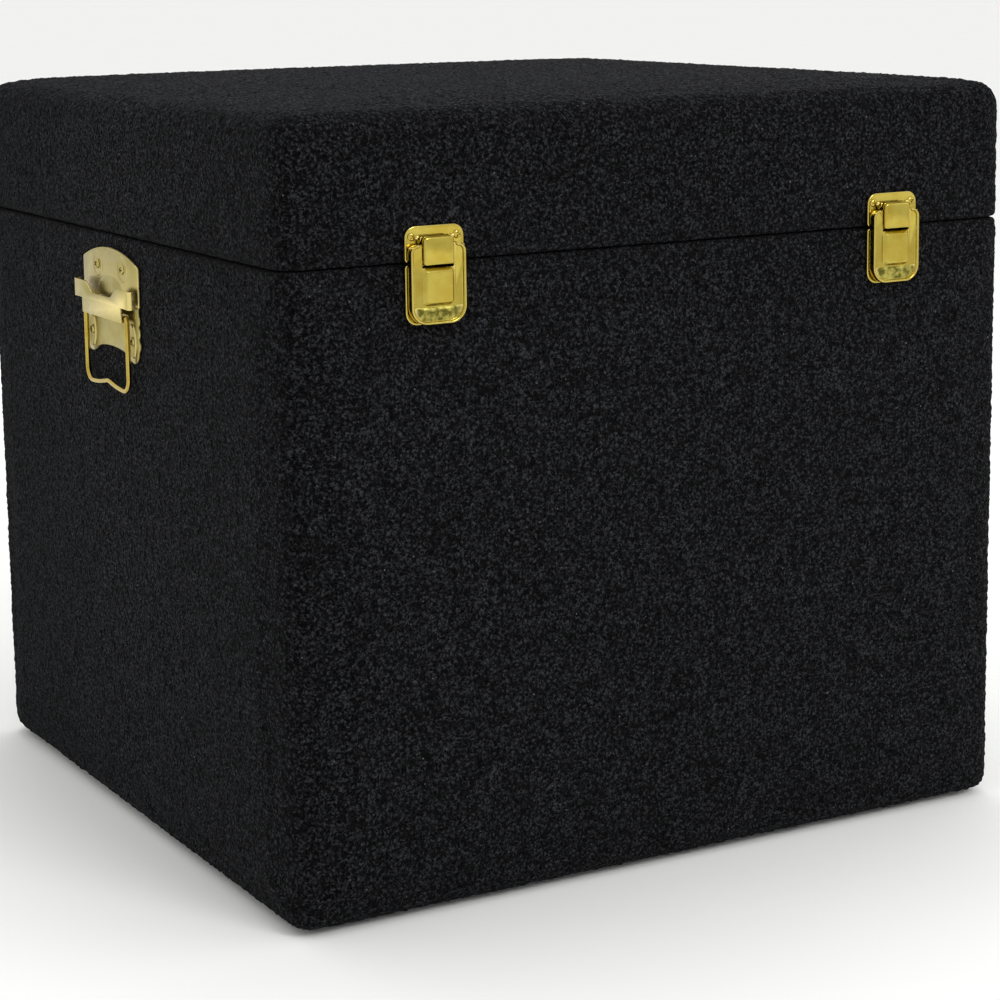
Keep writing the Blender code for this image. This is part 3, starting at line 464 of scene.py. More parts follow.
def makeFibreboard():
    # Raw pressed wood fibre with sawn edges: matt tan, with short darker fibres all over
    material, tree, shader, spots = newMaterial("sawn fibreboard", Specular_IOR_Level=0.3)
    stretch = addNode(tree, "ShaderNodeMapping",
                      {"Vector": spots["Object"], "Scale": (1.0, 1.0, 3.0)}, 0)
    fibre = addNode(tree, "ShaderNodeTexNoise",
                    {"Vector": stretch, "Scale": 1 / (1.6 * mm), "Detail": 6.0, "Distortion": 1.2},
                    "Fac")
    cloud = addNode(tree, "ShaderNodeTexNoise",
                    {"Vector": spots["Object"], "Scale": 1 / (30 * mm)}, "Fac")
    grey = addNode(tree, "ShaderNodeMix", {0: 0.3, 2: fibre, 3: cloud}, 0, data_type="FLOAT")
    colour = addNode(tree, "ShaderNodeValToRGB", {"Fac": grey}, "Color",
                     ((0.3, "#7A5A38"), (0.5, "#A98A63"), (0.7, "#C0A27A")))
    rough = addNode(tree, "ShaderNodeMapRange", {"Value": fibre, "To Min": 0.7, "To Max": 0.9}, 0)
    bump = addNode(tree, "ShaderNodeBump", {"Height": fibre, "Distance": 0.15 * mm, "Strength": 0.6}, 0)
    dress(tree, shader, colour, rough, bump)
    return material


def makeCells(name, dark, light, size, depth, specular):
    # Open-celled foam, or spun cloth with its welded dimples: small pits in a matt sheet, painted darker
    # in the pits as painted shade, with a random drift of tone
    material, tree, shader, spots = newMaterial(name, Specular_IOR_Level=specular)
    cells = addNode(tree, "ShaderNodeTexVoronoi",
                    {"Vector": spots["Object"], "Scale": 1 / (size * mm)}, "Distance")
    drift = addNode(tree, "ShaderNodeTexNoise",
                    {"Vector": spots["Object"], "Scale": 1 / (12 * mm), "Detail": 3.0}, "Fac")
    height = addNode(tree, "ShaderNodeMath", {0: drift, 1: 0.4, 2: cells}, 0,
                     operation="MULTIPLY_ADD")
    # painted shade: the colour follows the pits' depth and is darker down in them, plus a random drift
    # of tone
    colour = addNode(tree, "ShaderNodeValToRGB", {"Fac": height}, "Color", ((0.2, dark), (0.8, light)))
    rough = addNode(tree, "ShaderNodeMapRange", {"Value": height, "To Min": 0.95, "To Max": 0.8}, 0)
    bump = addNode(tree, "ShaderNodeBump", {"Height": cells, "Distance": depth * mm, "Strength": 0.8}, 0)
    dress(tree, shader, colour, rough, bump)
    return material


boucleKnit = makeBoucle()
polishedBrass = makeBrass("polished brass plated steel", "#B4A34A", "#AC963C", 0.10, 0.18, 1.4)
# painted reflection: the thumb lip's brass is painted dark and mottled for the dark surroundings its
# lower slope reflects, and is made rougher
darkReflectionBrass = makeBrass("finger-worn brass plated steel", "#5A5622", "#A69C4E", 0.2, 0.42, 0.8, 3.0)
satinBrass = makeBrass("satin brass plated steel", "#A79B5C", "#9E9150", 0.26, 0.38, 0.8)
brightWire = makeBrass("bright brass wire", "#BAA54E", "#B0963E", 0.12, 0.2, 0.6)
liningCloth = makeWeave("black polyester lining", "#0B0B0C", "#232326", 0.9, 0.15)
threadCloth = makeWeave("charcoal sewing thread", "#2A2A2C", "#4A4A4D", 0.35, 0.3)
fibreboard = makeFibreboard()
creamFoam = makeCells("cream upholstery foam", "#CDBE8A", "#ECE3C2", 0.9, 0.3, 0.2)
spunCloth = makeCells("black spun-bonded cloth", "#09090A", "#1C1C1E", 1.8, 0.15, 0.2)
mouldedNylon = makeCells("black moulded nylon", "#101011", "#19191A", 0.5, 0.03, 0.5)
print("materials ready")


cover = {
    "cornerRadius": 14.0,            # uprights
    "lidEdge": 13.0, "footEdge": 9.0, "seamEdge": 2.6,
    "rim": 16.3,                     # width of the cover folded over the panels' edges
    "turnUnder": 45.0,               # width turned under the body
    "wall": 4.0,                     # boucle with its thin foam
    "start": 1.3,                    # the simulation starts this much inside the final face
    "swell": 2.2,                    # and may move a point this far out
    "give": 0.2,                     # or this far in
    "step": 6.0,                     # grid before it is subdivided twice
    "edgeLines": (0, 1.4, 2.8, 5.5, 9.0, 13.0),   # closer grid lines along the uprights
    "levelLines": (0, 1.3, 2.6, 5.0, 8.5, 13.0),  # and along the level edges
    "crown": 3.0,
    "frames": 20,                    # how long the simulation runs
    "cloth": {"quality": 4, "mass": 0.3, "tension_stiffness": 12, "compression_stiffness": 12,
              "bending_stiffness": 2, "vertex_group_mass": "held", "use_pressure": True,
              "uniform_pressure_force": 4},
    "holdBand": 14.0,                # towards the seam the cover is held tighter over this height
    "seamReach": 9.0,                # and its relief fades over this height
    "press": 9.0,                    # how far round a fitting the padding eases back
    "pressDepth": -0.35, "pressRise": 1.6, "pressedRelief": 0.3,
    "clumpSize": 6.0, "clumpHeight": 1.2, "curlSize": 3.2, "curlHeight": 1.1, "curlShift": 2.2,
}


def spread(start, stop, step):
    count = max(1, round((stop - start) / step))
    return [start + (stop - start) * i / count for i in range(1, count + 1)]


def gridLines(low, high, edges):
    # Grid lines from low to high with the same close spacing at both ends
    left = [low + e for e in edges]
    right = [high - e for e in reversed(edges)]
    return left + spread(left[-1], right[0], cover["step"])[:-1] + right


def softBox(name, half, low, high, radii, lines, keep, rise):
    # A rounded box on a regular grid; keep says which level faces stay, rise lifts the top
    planRadius, lowRadius, highRadius = radii
    xs, ys, zs = lines
    tops = (len(xs) - 1, len(ys) - 1, len(zs) - 1)
    made, points, faces = {}, [], []

    def vertex(i, j, k):
        if (i, j, k) not in made:
            made[i, j, k] = len(points)
            points.append(roundOff(Vector((xs[i], ys[j], zs[k]))))
        return made[i, j, k]

    def roundOff(p):
        core = Vector((half[0] - planRadius, half[1] - planRadius))
        sideways = Vector((math.copysign(max(0.0, abs(p.x) - core.x), p.x),
                           math.copysign(max(0.0, abs(p.y) - core.y), p.y)))
        inset = min(half[0] - abs(p.x), half[1] - abs(p.y))
        if sideways.length > 0:
            reach = max(abs(sideways.x), abs(sideways.y))
            direction = sideways.normalized()
            p.x += direction.x * reach - sideways.x
            p.y += direction.y * reach - sideways.y
        elif half[0] - abs(p.x) < half[1] - abs(p.y):
            direction = Vector((math.copysign(1, p.x), 0))
        else:
            direction = Vector((0, math.copysign(1, p.y)))
        for edge, radius, up in ((low, lowRadius, -1), (high, highRadius, 1)):
            depth = abs(edge - p.z)
            if inset < radius and depth < radius:
                away = Vector((radius - inset, radius - depth))
                rolled = away.normalized() * radius
                p.x += direction.x * (rolled.x - away.x)
                p.y += direction.y * (rolled.x - away.x)
                p.z += up * (rolled.y - away.y)
        share = max(0.0, (p.z - (high - highRadius)) / highRadius)
        flat = (1 - abs(p.x / half[0]) ** 4) * (1 - abs(p.y / half[1]) ** 4)
        p.z += rise * max(0.0, flat) * min(1.0, share)
        return p

    for i in range(tops[0]):
        for j in range(tops[1]):
            spot = (abs(xs[i] + xs[i + 1]) / 2, abs(ys[j] + ys[j + 1]) / 2)
            if keep(spot, False):
                faces.append((vertex(i, j, 0), vertex(i, j + 1, 0),
                              vertex(i + 1, j + 1, 0), vertex(i + 1, j, 0)))
            if keep(spot, True):
                k = tops[2]
                faces.append((vertex(i, j, k), vertex(i + 1, j, k),
                              vertex(i + 1, j + 1, k), vertex(i, j + 1, k)))
    for k in range(tops[2]):
        for i in range(tops[0]):
            j = tops[1]
            faces.append((vertex(i, 0, k), vertex(i + 1, 0, k),
                          vertex(i + 1, 0, k + 1), vertex(i, 0, k + 1)))
            faces.append((vertex(i + 1, j, k), vertex(i, j, k),
                          vertex(i, j, k + 1), vertex(i + 1, j, k + 1)))
        for j in range(tops[1]):
            i = tops[0]
            faces.append((vertex(0, j + 1, k), vertex(0, j, k),
                          vertex(0, j, k + 1), vertex(0, j + 1, k + 1)))
            faces.append((vertex(i, j, k), vertex(i, j + 1, k),
                          vertex(i, j + 1, k + 1), vertex(i, j, k + 1)))
    mesh = bpy.data.meshes.new(name)
    mesh.from_pydata([p * mm for p in points], [], faces)
    piece = placeObject(name, mesh)
    mesh.materials.append(boucleKnit)
    return piece


def readPoints(mesh, what="co"):
    flat = np.empty(len(mesh.vertices) * 3, np.float32)
    if what == "co":
        mesh.vertices.foreach_get("co", flat)
    else:
        mesh.vertex_normals.foreach_get("vector", flat)
    return flat.reshape(-1, 3)


def inflate(piece, held):
    # Stuff the cover: cloth under light pressure, no point moving further than the swell
    group = piece.vertex_groups.new(name="held")
    for vertex in piece.data.vertices:
        grip = held(vertex.co / mm)
        if grip > 0:
            group.add([vertex.index], grip, "REPLACE")
    cloth = piece.modifiers.new("stuffing", "CLOTH")
    for key, value in cover["cloth"].items():
        setattr(cloth.settings, key, value)
    cloth.settings.effector_weights.gravity = 0
    cloth.collision_settings.use_collision = False
    cloth.point_cache.frame_start = 1
    cloth.point_cache.frame_end = cover["frames"]
    before = readPoints(piece.data)
    for frameNumber in range(1, cover["frames"] + 1):
        scene.frame_set(frameNumber)
    graph = bpy.context.evaluated_depsgraph_get()
    move = readPoints(piece.evaluated_get(graph).data) - before
    length = np.linalg.norm(move, axis=1, keepdims=True)
    limit = cover["swell"] * mm
    move *= np.minimum(1.0, limit / np.maximum(length, 1e-9))
    # the padding behind stops it from sinking, which would bare the corners of the carcass
    facing = readPoints(piece.data, "normal")
    sunk = np.minimum(0, (move * facing).sum(axis=1, keepdims=True) + cover["give"] * mm)
    move -= sunk * facing
    piece.modifiers.clear()
    piece.vertex_groups.clear()
    piece.data.vertices.foreach_set("co", (before + move).ravel())
    scene.frame_set(1)


# Where fittings are screwed on, they press the padding flat: (fitting, half width, low, high)
footprints = [(latchAt[side], 15.75, -29.2, 17.8) for side, _ in sides]
footprints += [(handleAt[side], 39.0, -65.0, -6.6) for side, _ in sides]
footprints += [(hingeAt[side], 18.0, -26.0, 26.0) for side, _ in sides]


def pressFittings(piece):
    # Push the padding back under each fitting and note how much relief each point keeps
    spots = readPoints(piece.data)
    relief = np.ones(len(spots), np.float32)
    reach, least = cover["press"], cover["pressedRelief"]
    for put, half, low, high in footprints:
        origin = np.array(put(0, 0, 0))
        across = (np.array(put(1, 0, 0)) - origin) / mm
        outward = (np.array(put(0, 1, 0)) - origin) / mm
        local = (spots - origin) / mm
        a, out, up = local @ across, local @ outward, local[:, 2]
        gapX = np.maximum(0, np.abs(a) - half)
        gapZ = np.maximum(0, np.maximum(low - up, up - high))
        away = np.hypot(gapX, gapZ)
        near = (out > -8) & (away < reach)
        ease = np.clip(away / reach, 0, 1)
        ease = ease * ease * (3 - 2 * ease)
        ceiling = cover["pressDepth"] + cover["pressRise"] * ease
        drop = np.where(near, np.maximum(0, out - ceiling), 0)
        spots -= (drop[:, None] * outward * mm).astype(np.float32)
        relief = np.where(near, np.minimum(relief, least + (1 - least) * ease), relief)
    fromSeam = np.abs(spots[:, 2] / mm - seamHeight)
    relief *= np.clip(0.25 + fromSeam / cover["seamReach"], 0, 1)
    piece.data.vertices.foreach_set("co", spots.ravel())
    layer = piece.data.attributes.new("relief", "FLOAT", "POINT")
    layer.data.foreach_set("value", relief.astype(np.float32))


def newTree(name, **inputs):
    # A Geometry Nodes tree with geometry in and out, and its named inputs by socket type
    tree = bpy.data.node_groups.new(name, "GeometryNodeTree")
    tree.interface.new_socket("Geometry", in_out="INPUT", socket_type="NodeSocketGeometry")
    for kind, names in inputs.items():
        for title in names:
            tree.interface.new_socket(title, in_out="INPUT", socket_type=f"NodeSocket{kind}")
    tree.interface.new_socket("Geometry", in_out="OUTPUT", socket_type="NodeSocketGeometry")
    return tree


def endTree(tree, geometry, finish):
    real = addNode(tree, "GeometryNodeRealizeInstances", {"Geometry": geometry}, 0)
    done = addNode(tree, "GeometryNodeSetMaterial", {"Geometry": real, "Material": finish}, 0)
    addNode(tree, "NodeGroupOutput", {"Geometry": done})


def reliefTree():
    # Geometry Nodes: pushes every point of the cover out or in by clumps and curls of yarn
    tree = newTree("boucle relief", Float=("Clump Size", "Clump Height", "Curl Size", "Curl Height"))
    given = addNode(tree, "NodeGroupInput").outputs
    place = addNode(tree, "GeometryNodeInputPosition", give=0)
    perClump = addNode(tree, "ShaderNodeMath", {0: 1.0, 1: given["Clump Size"]}, 0, operation="DIVIDE")
    perCurl = addNode(tree, "ShaderNodeMath", {0: 1.0, 1: given["Curl Size"]}, 0, operation="DIVIDE")
    clump = addNode(tree, "ShaderNodeTexNoise",
                    {"Vector": place, "Scale": perClump, "Detail": 1.0}, "Fac")
    bend = addNode(tree, "ShaderNodeTexNoise",
                   {"Vector": place, "Scale": perCurl, "Detail": 0.0}, "Color")
    shift = addNode(tree, "ShaderNodeVectorMath",
                    {0: bend, 1: (cover["curlShift"] * mm,) * 3, 2: place}, 0,
                    operation="MULTIPLY_ADD")
    curl = addNode(tree, "ShaderNodeTexVoronoi",
                   {"Vector": shift, "Scale": perCurl, "Smoothness": 0.6}, "Distance",
                   feature="SMOOTH_F1")
    high = addNode(tree, "ShaderNodeMath", {0: 0.45, 1: curl}, 0, operation="SUBTRACT")
    bump = addNode(tree, "ShaderNodeMath", {0: high, 1: given["Curl Height"]}, 0, operation="MULTIPLY")
    wide = addNode(tree, "ShaderNodeMath", {0: clump, 1: 0.5}, 0, operation="SUBTRACT")
    whole = addNode(tree, "ShaderNodeMath", {0: wide, 1: given["Clump Height"], 2: bump}, 0,
                    operation="MULTIPLY_ADD")
    kept = addNode(tree, "GeometryNodeInputNamedAttribute", {"Name": "relief"}, "Attribute",
                   data_type="FLOAT")
    height = addNode(tree, "ShaderNodeMath", {0: whole, 1: kept}, 0, operation="MULTIPLY")
    normal = addNode(tree, "GeometryNodeInputNormal", give=0)
    offset = addNode(tree, "ShaderNodeVectorMath", {0: normal, "Scale": height}, 0, operation="SCALE")
    moved = addNode(tree, "GeometryNodeSetPosition",
                    {"Geometry": given["Geometry"], "Offset": offset}, 0)
    endTree(tree, moved, boucleKnit)
    return tree


def useTree(piece, tree, **values):
    # A Geometry Nodes modifier whose inputs are set by their sockets' identifiers
    holder = piece.modifiers.new(tree.name, "NODES")
    holder.node_group = tree
    for socket in tree.interface.items_tree:
        key = socket.name.replace(" ", "")
        key = key[0].lower() + key[1:]
        if socket.in_out == "INPUT" and key in values:
            holder[socket.identifier] = values[key]
    return plainMesh(piece)


boucleTree = reliefTree()


def finishCover(piece, held):
    inflate(piece, held)
    soft = piece.modifiers.new("soft", "SUBSURF")
    soft.levels = soft.render_levels = 2
    plainMesh(piece)
    pressFittings(piece)
    useTree(piece, boucleTree, **{key: cover[key] * mm for key in
                                  ("clumpSize", "clumpHeight", "curlSize", "curlHeight")})
    piece.data.attributes.remove(piece.data.attributes["relief"])


def openLoops(bm):
    # The open rims of a cover, as lists of edges, lowest first
    left = {e for e in bm.edges if e.is_boundary}
    loops = []
    while left:
        group, queue = [], [left.pop()]
        while queue:
            edge = queue.pop()
            group.append(edge)
            for vertex in edge.verts:
                for other in vertex.link_edges:
                    if other in left:
                        left.remove(other)
                        queue.append(other)
        loops.append(group)
    return sorted(loops, key=lambda loop: loop[0].verts[0].co.z)


def foldRim(bm, loop, inset, height):
    # Carry an open rim on to a rounded rectangle at that inset and height
    grown = bmesh.ops.extrude_edge_only(bm, edges=loop)["geom"]
    for vertex in [g for g in grown if isinstance(g, bmesh.types.BMVert)]:
        reach = Vector((halfWide - inset, halfDeep - inset)) * mm
        old = vertex.co
        share = max(abs(old.x) / reach.x, abs(old.y) / reach.y)
        onX = abs(old.x) / reach.x >= abs(old.y) / reach.y
        flatX = max(-reach.x, min(reach.x, old.x / share if onX else old.x))
        flatY = max(-reach.y, min(reach.y, old.y / share if not onX else old.y))
        vertex.co = (flatX, flatY, height * mm)
    return [g for g in grown if isinstance(g, bmesh.types.BMEdge) and g.is_boundary]


def makeBodyCover():
    low, high = bodyLow.z / mm, bodyHigh.z / mm
    back = cover["start"]
    half = (halfWide - back, halfDeep - back)
    under, rim = cover["turnUnder"], cover["rim"]
    edges = (*cover["edgeLines"], rim, *spread(rim, under, cover["step"]))
    lines = (gridLines(-half[0], half[0], edges), gridLines(-half[1], half[1], edges),
             gridLines(low, high, cover["levelLines"]))

    def keep(spot, top):
        width = rim if top else under
        return spot[0] > half[0] - width or spot[1] > half[1] - width

    piece = softBox("boucle_body_cover", half, low, high,
                    (cover["cornerRadius"], cover["footEdge"], cover["seamEdge"]), lines, keep, 0)

    def held(p):
        if p.z < low + 0.5 or max(abs(p.x) - half[0], abs(p.y) - half[1]) < -4:
            return 1.0
        return max(0.0, 1 - (high - p.z) / cover["holdBand"]) ** 0.5

    finishCover(piece, held)
    bm = bmesh.new()
    bm.from_mesh(piece.data)
    lowLoop, highLoop = openLoops(bm)
    wall = cover["wall"]
    inner = foldRim(bm, foldRim(bm, highLoop, rim, high - wall), wall, high - wall)
    inner = foldRim(bm, inner, wall, low + wall)
    outer = foldRim(bm, lowLoop, under, low + wall)
    bmesh.ops.bridge_loops(bm, edges=inner + outer)
    closeCover(piece, bm)
    attach(piece, "body", "boucle", "body_cover")


def closeCover(piece, bm):
    bmesh.ops.recalc_face_normals(bm, faces=bm.faces[:])
    bm.to_mesh(piece.data)
    bm.free()
    shadeRound(piece.data, 70)


def makeLidCover():
    low, high = lidLow.z / mm, lidHigh.z / mm - cover["crown"]
    back = cover["start"]
    half = (halfWide - back, halfDeep - back)
    rim = cover["rim"]
    edges = (*cover["edgeLines"], rim)
    lines = (gridLines(-half[0], half[0], edges), gridLines(-half[1], half[1], edges),
             gridLines(low, high - back, cover["levelLines"]))

    def keep(spot, top):
        return top or spot[0] > half[0] - rim or spot[1] > half[1] - rim

    piece = softBox("boucle_lid_cover", half, low, high - back,
                    (cover["cornerRadius"], cover["seamEdge"], cover["lidEdge"]), lines, keep,
                    cover["crown"])

    def held(p):
        if p.z < low + 0.5:
            return 1.0
        return max(0.0, 1 - (p.z - low) / cover["holdBand"]) ** 0.5

    finishCover(piece, held)
    bm = bmesh.new()
    bm.from_mesh(piece.data)
    wall = cover["wall"]
    inner = foldRim(bm, openLoops(bm)[0], rim, low + wall)
    inner = foldRim(bm, inner, wall, low + wall)
    inner = foldRim(bm, inner, wall, high - 9)
    inner = foldRim(bm, inner, 13, high - 3)
    inner = foldRim(bm, inner, 40, high - 0.8)
    bmesh.ops.contextual_create(bm, geom=inner)
    closeCover(piece, bm)
    attach(piece, "lid", "boucle", "lid_cover")


makeBodyCover()
print("body cover done")
makeLidCover()
print("lid cover done")


latch = {
    "half": 15.75,                   # plates
    "back": 0.3, "face": 1.3,
    "keeperLow": 0.8, "keeperTop": 17.8, "keeperCorner": 5.5,
    "baseBottom": -29.2, "baseTop": -0.4, "baseCorner": 6.0,
    "screwX": 12.15, "screwUp": 12.9, "screwHead": 2.05,
    "lipHalf": 8.5,
    "leverHalf": 14.8, "leverBottom": -29.0, "leverTop": 9.35,
    "leverCorner": 8.5, "shoulder": 4.2, "leverBack": 1.75,
    "slotHalf": 8.5, "slotBottom": -2.0, "slotWall": 4.0,
    "web": 4.75, "rimOut": 5.9,
    "panelHalf": 8.4, "panelTop": -2.0, "panelBottom": -20.1, "panelOut": 6.5,
    "lipTop": -20.6, "lipBottom": -27.6, "lipRise": 0.75, "lipInset": 1.9,
    "pivotOut": 3.3, "pivotUp": 7.8, "linkOut": 3.7, "linkUp": 0.9, "pin": 0.7,
    "hookHalf": 8.15, "hookOut": 6.6, "hookTop": 13.0, "hookBottom": -0.7, "hookRoll": 2.8,
    "earX": 12.0, "ear": 1.2,
    "baseScrews": ((-6.5, -16.0), (6.5, -16.0), (0, -24.0)),
}


def plateProfile(back, face, bead):
    # A pressed plate whose rolled border stands a little proud of its middle
    return [(0.2, back), (0, back + 0.15), (0, face - 0.05), (0.15, face + bead * 0.6),
            (0.45, face + bead), (0.8, face + bead * 0.9), (1.15, face + bead * 0.2), (1.5, face)]


def makeKeeper(side, put):
    s = latch
    bm = bmesh.new()
    outline = roundedRect(s["half"], s["keeperLow"], s["keeperTop"], 1.7, s["keeperCorner"])
    pressed(bm, put, outline, plateProfile(s["back"], s["face"], 0.2))
    bend = [(1.0, 9.6), (1.7, 9.9)] + arcPoints(1.2, 12.0, 1.9, -65, 0, 6) + [(3.1, 12.9)]
    acrossPiece(bm, put, strip(bend, 0.9), -s["lipHalf"], s["lipHalf"], 0.25)
    for sign in (-1, 1):              # the swellings where the lip was drawn out of the plate
        turnedPiece(bm, put, sign * 9.45, 12.4,
                    [(1.35, 1.1), (1.3, 1.6), (1.1, 2.05), (0.7, 2.4), (0.2, 2.5)], 20)
    keeper = makePiece(f"brass_keeper_{side}", bm, polishedBrass)
    attach(keeper, "lid", "polished_brass", f"latch_keeper_{side}")


def makeBase(side, put):
    s = latch
    bm = bmesh.new()
    outline = roundedRect(s["half"], s["baseBottom"], s["baseTop"], s["baseCorner"], 1.7)
    pressed(bm, put, outline, plateProfile(s["back"], s["face"], 0.2))
    out, up, end = s["pivotOut"], s["pivotUp"], 1.05
    ear = [(0.9, -12.0), (3.4, -8.0), (out + end, -5.0), (out + end, up)]
    ear += arcPoints(out, up, end, 0, 180, 9)[1:] + [(out - end, 0.6), (1.4, -0.6), (0.9, -1.4)]
    for sign in (-1, 1):
        middle = sign * s["earX"]
        acrossPiece(bm, put, ear, middle - s["ear"] / 2, middle + s["ear"] / 2, 0.12)
    base = makePiece(f"brass_latch_base_{side}", bm, polishedBrass)
    attach(base, "body", "polished_brass", f"latch_base_{side}")
    makePin(f"brass_lever_pin_{side}", put, s["leverHalf"] - 0.1, out, up, s["pin"], "body",
            f"latch_lever_pin_{side}")


def leverOutline():
    # U shape, counterclockwise from the bottom middle; the weight says where the rim is rolled
    s = latch
    half, corner, shoulder = s["leverHalf"], s["leverCorner"], s["shoulder"]
    right = [(2.5, s["leverBottom"], 1)]
    right += [(x, y, 1) for x, y in arcPoints(half - corner, s["leverBottom"] + corner, corner,
                                              -90, 0, 13)]
    right += [(half, up, 1) for up in (-14.0, -7.0, 0.0)]
    right += [(x, y, 1) for x, y in arcPoints(half - shoulder, s["leverTop"] - shoulder, shoulder,
                                              0, 90, 11)]
    edge = s["slotHalf"]
    right += [(edge + 1.4, s["leverTop"], 0.7)]
    right += [(x, y, 0) for x, y in arcPoints(edge + 0.7, s["leverTop"] - 0.7, 0.7, 90, 180, 5)]
    right += [(edge, up, 0) for up in (6.0, 3.0, 0.0)]
    right += [(x, y, 0) for x, y in arcPoints(edge - 0.6, s["slotBottom"] + 0.6, 0.6, 0, -90, 5)]
    right += [(3.0, s["slotBottom"], 0)]
    return right + [(-x, y, weight) for x, y, weight in reversed(right)]


def trimBack(out, up):
    # The lever's top inner corner is cut back, so that it clears the lid as it swings
    s = latch
    limit = s["leverBack"] + max(0.0, up - (s["leverTop"] - 1.3)) * 1.2
    return max(out, limit)


def makeLever(side, put):
    s = latch
    bm = bmesh.new()
    shape = leverOutline()
    outline = [(x, y) for x, y, weight in shape]
    shares = [0.25 + 0.75 * weight for x, y, weight in shape]
    web, rim, back = s["web"], s["rimOut"], s["leverBack"]
    profile = [(0.95, web - 0.8), (0.9, back + 0.1), (0.6, back), (0.15, back), (0, back + 0.2),
               (0, web - 0.1), (0.1, rim - 0.35), (0.35, rim - 0.08), (0.7, rim),
               (1.05, rim - 0.1), (1.35, rim - 0.4), (1.6, web + 0.12), (1.9, web)]
    rings = []
    for inset, out in profile:
        ring = []
        for (x, up), (_, _, weight) in zip(shrink(outline, inset, shares), shape):
            level = out if out <= web else web + (out - web) * weight
            if weight == 0:           # no deep wall along the slot, where the hook swings
                level = max(level, s["slotWall"])
            ring.append(put(x, trimBack(level, up), up))
        rings.append(ring)
    loft(bm, rings)
    # the raised panel under the hook
    outline = roundedRect(s["panelHalf"], s["panelBottom"], s["panelTop"], 2.9, 2.3)
    top = s["panelOut"]
    pressed(bm, put, outline, [(0, web - 0.6), (0, web + 0.05), (0.2, web + 0.3), (1.25, top - 0.4),
                               (1.5, top - 0.12), (1.8, top), (2.2, top)])
    # the thumb lip: a swelling along the bottom rim whose lower slope takes the thumb
    rings = []
    for step in range(15):
        share = step / 14
        up = s["lipBottom"] + (s["lipTop"] - s["lipBottom"]) * share
        drop = min(s["leverCorner"], s["leverBottom"] + s["leverCorner"] - up)
        half = s["leverHalf"] - s["leverCorner"] + math.sqrt(s["leverCorner"] ** 2 - max(0, drop) ** 2)
        rise = s["lipRise"] * math.sin(math.pi * share ** 1.5) ** 0.8 - 0.04
        row = [-1 + 2 * i / 16 for i in range(17)]
        level = [web + rise * (1 - abs(x) ** 6) for x in row]
        front = [put(x * (half - s["lipInset"]), out, up) for x, out in zip(row, level)]
        rings.append(front + [put(x * (half - s["lipInset"]), web - 0.8, up) for x in reversed(row)])
    whole = len(bm.faces)
    loft(bm, rings)
    bm.faces.ensure_lookup_table()
    # the thumb lip's faces take the brass painted dark, a painted reflection
    for face in bm.faces[whole:]:
        face.material_index = 1
    lever = makePiece(f"brass_lever_{side}", bm, polishedBrass, darkReflectionBrass, sharp=32)
    attach(lever, f"lever_{side}", "polished_brass", f"latch_lever_{side}")
    makePin(f"brass_hook_pin_{side}", put, s["slotHalf"] + 0.7, s["linkOut"], s["linkUp"], s["pin"],
            f"lever_{side}", f"latch_hook_pin_{side}")


def makeHook(side, put):
    # A cap with short side walls: its top edge reaches over the keeper's lip
    s = latch
    bm = bmesh.new()
    out, half = s["hookOut"], s["hookHalf"]
    outline = roundedRect(half, s["hookBottom"], s["hookTop"], 1.35, 2.2)
    shallow = [(0.75, out - 1.0), (0.75, 4.45), (0.6, 4.3), (0.15, 4.3), (0, 4.45), (0, out - 1.3),
               (0.12, out - 0.8), (0.4, out - 0.35), (0.8, out - 0.08), (1.2, out)]
    rings = []
    for inset, level in shallow:
        ring = []
        for x, up in shrink(outline, inset):
            # the lowest edge of the face rolls round the pin, to clear the slot as it turns
            below = max(0.0, s["linkUp"] - up)
            rolled = s["linkOut"] + math.sqrt(s["hookRoll"] ** 2 - below ** 2)
            rolled += 0.25 * max(0.0, up - s["linkUp"])
            ring.append(put(x, min(level, rolled), up))
        rings.append(ring)
    loft(bm, rings)
    wall = [(3.0, 2.3), (2.7, 0.9)] + arcPoints(s["linkOut"], s["linkUp"], 1.25, 190, 300, 7)
    wall += [(5.4, 0.2), (5.6, 2.0), (5.6, 9.4), (4.4, 9.4), (3.6, 6.5)]
    for sign in (-1, 1):
        ends = sorted((sign * (half - 0.05), sign * (half - 0.85)))
        acrossPiece(bm, put, wall, ends[0], ends[1], 0.1)
    hook = makePiece(f"brass_hook_{side}", bm, polishedBrass, sharp=32)
    attach(hook, f"hook_{side}", "polished_brass", f"latch_hook_{side}")


for side, put in latchAt.items():
    makeKeeper(side, put)
    makeBase(side, put)
    makeLever(side, put)
    makeHook(side, put)
print("latches done")


handle = {
    "half": 39.0, "archTop": -6.6, "shoulderUp": -14.0, "split": -34.8,
    "back": 0.3, "face": 1.5,
    "topScrewX": 17.9, "topScrewUp": -16.7, "footScrewX": 29.0, "footScrewUp": -53.4,
    "screwHead": 2.6, "dimple": 6.4,
    "footEdge": 38.8, "footLow": -65.0,
    "bracketHalf": 39.8, "bracketTop": -26.0, "earBottom": -35.5, "stem": 28.0,
    "bracketBottom": -43.4, "front": 7.3, "sheet": 1.2,
    "notchTop": 24.0, "notchFloor": 11.0, "notchDepth": 5.6,
    "saddleInner": 19.2, "saddleOuter": 26.4,
    "wire": 1.35, "bailOut": 4.5, "bailUp": -41.0, "bailHalf": 29.8, "bailLow": -81.5,
    "dent": 3.0, "bend": 2.6, "corner": 7.0, "stubEnd": 21.0,
}


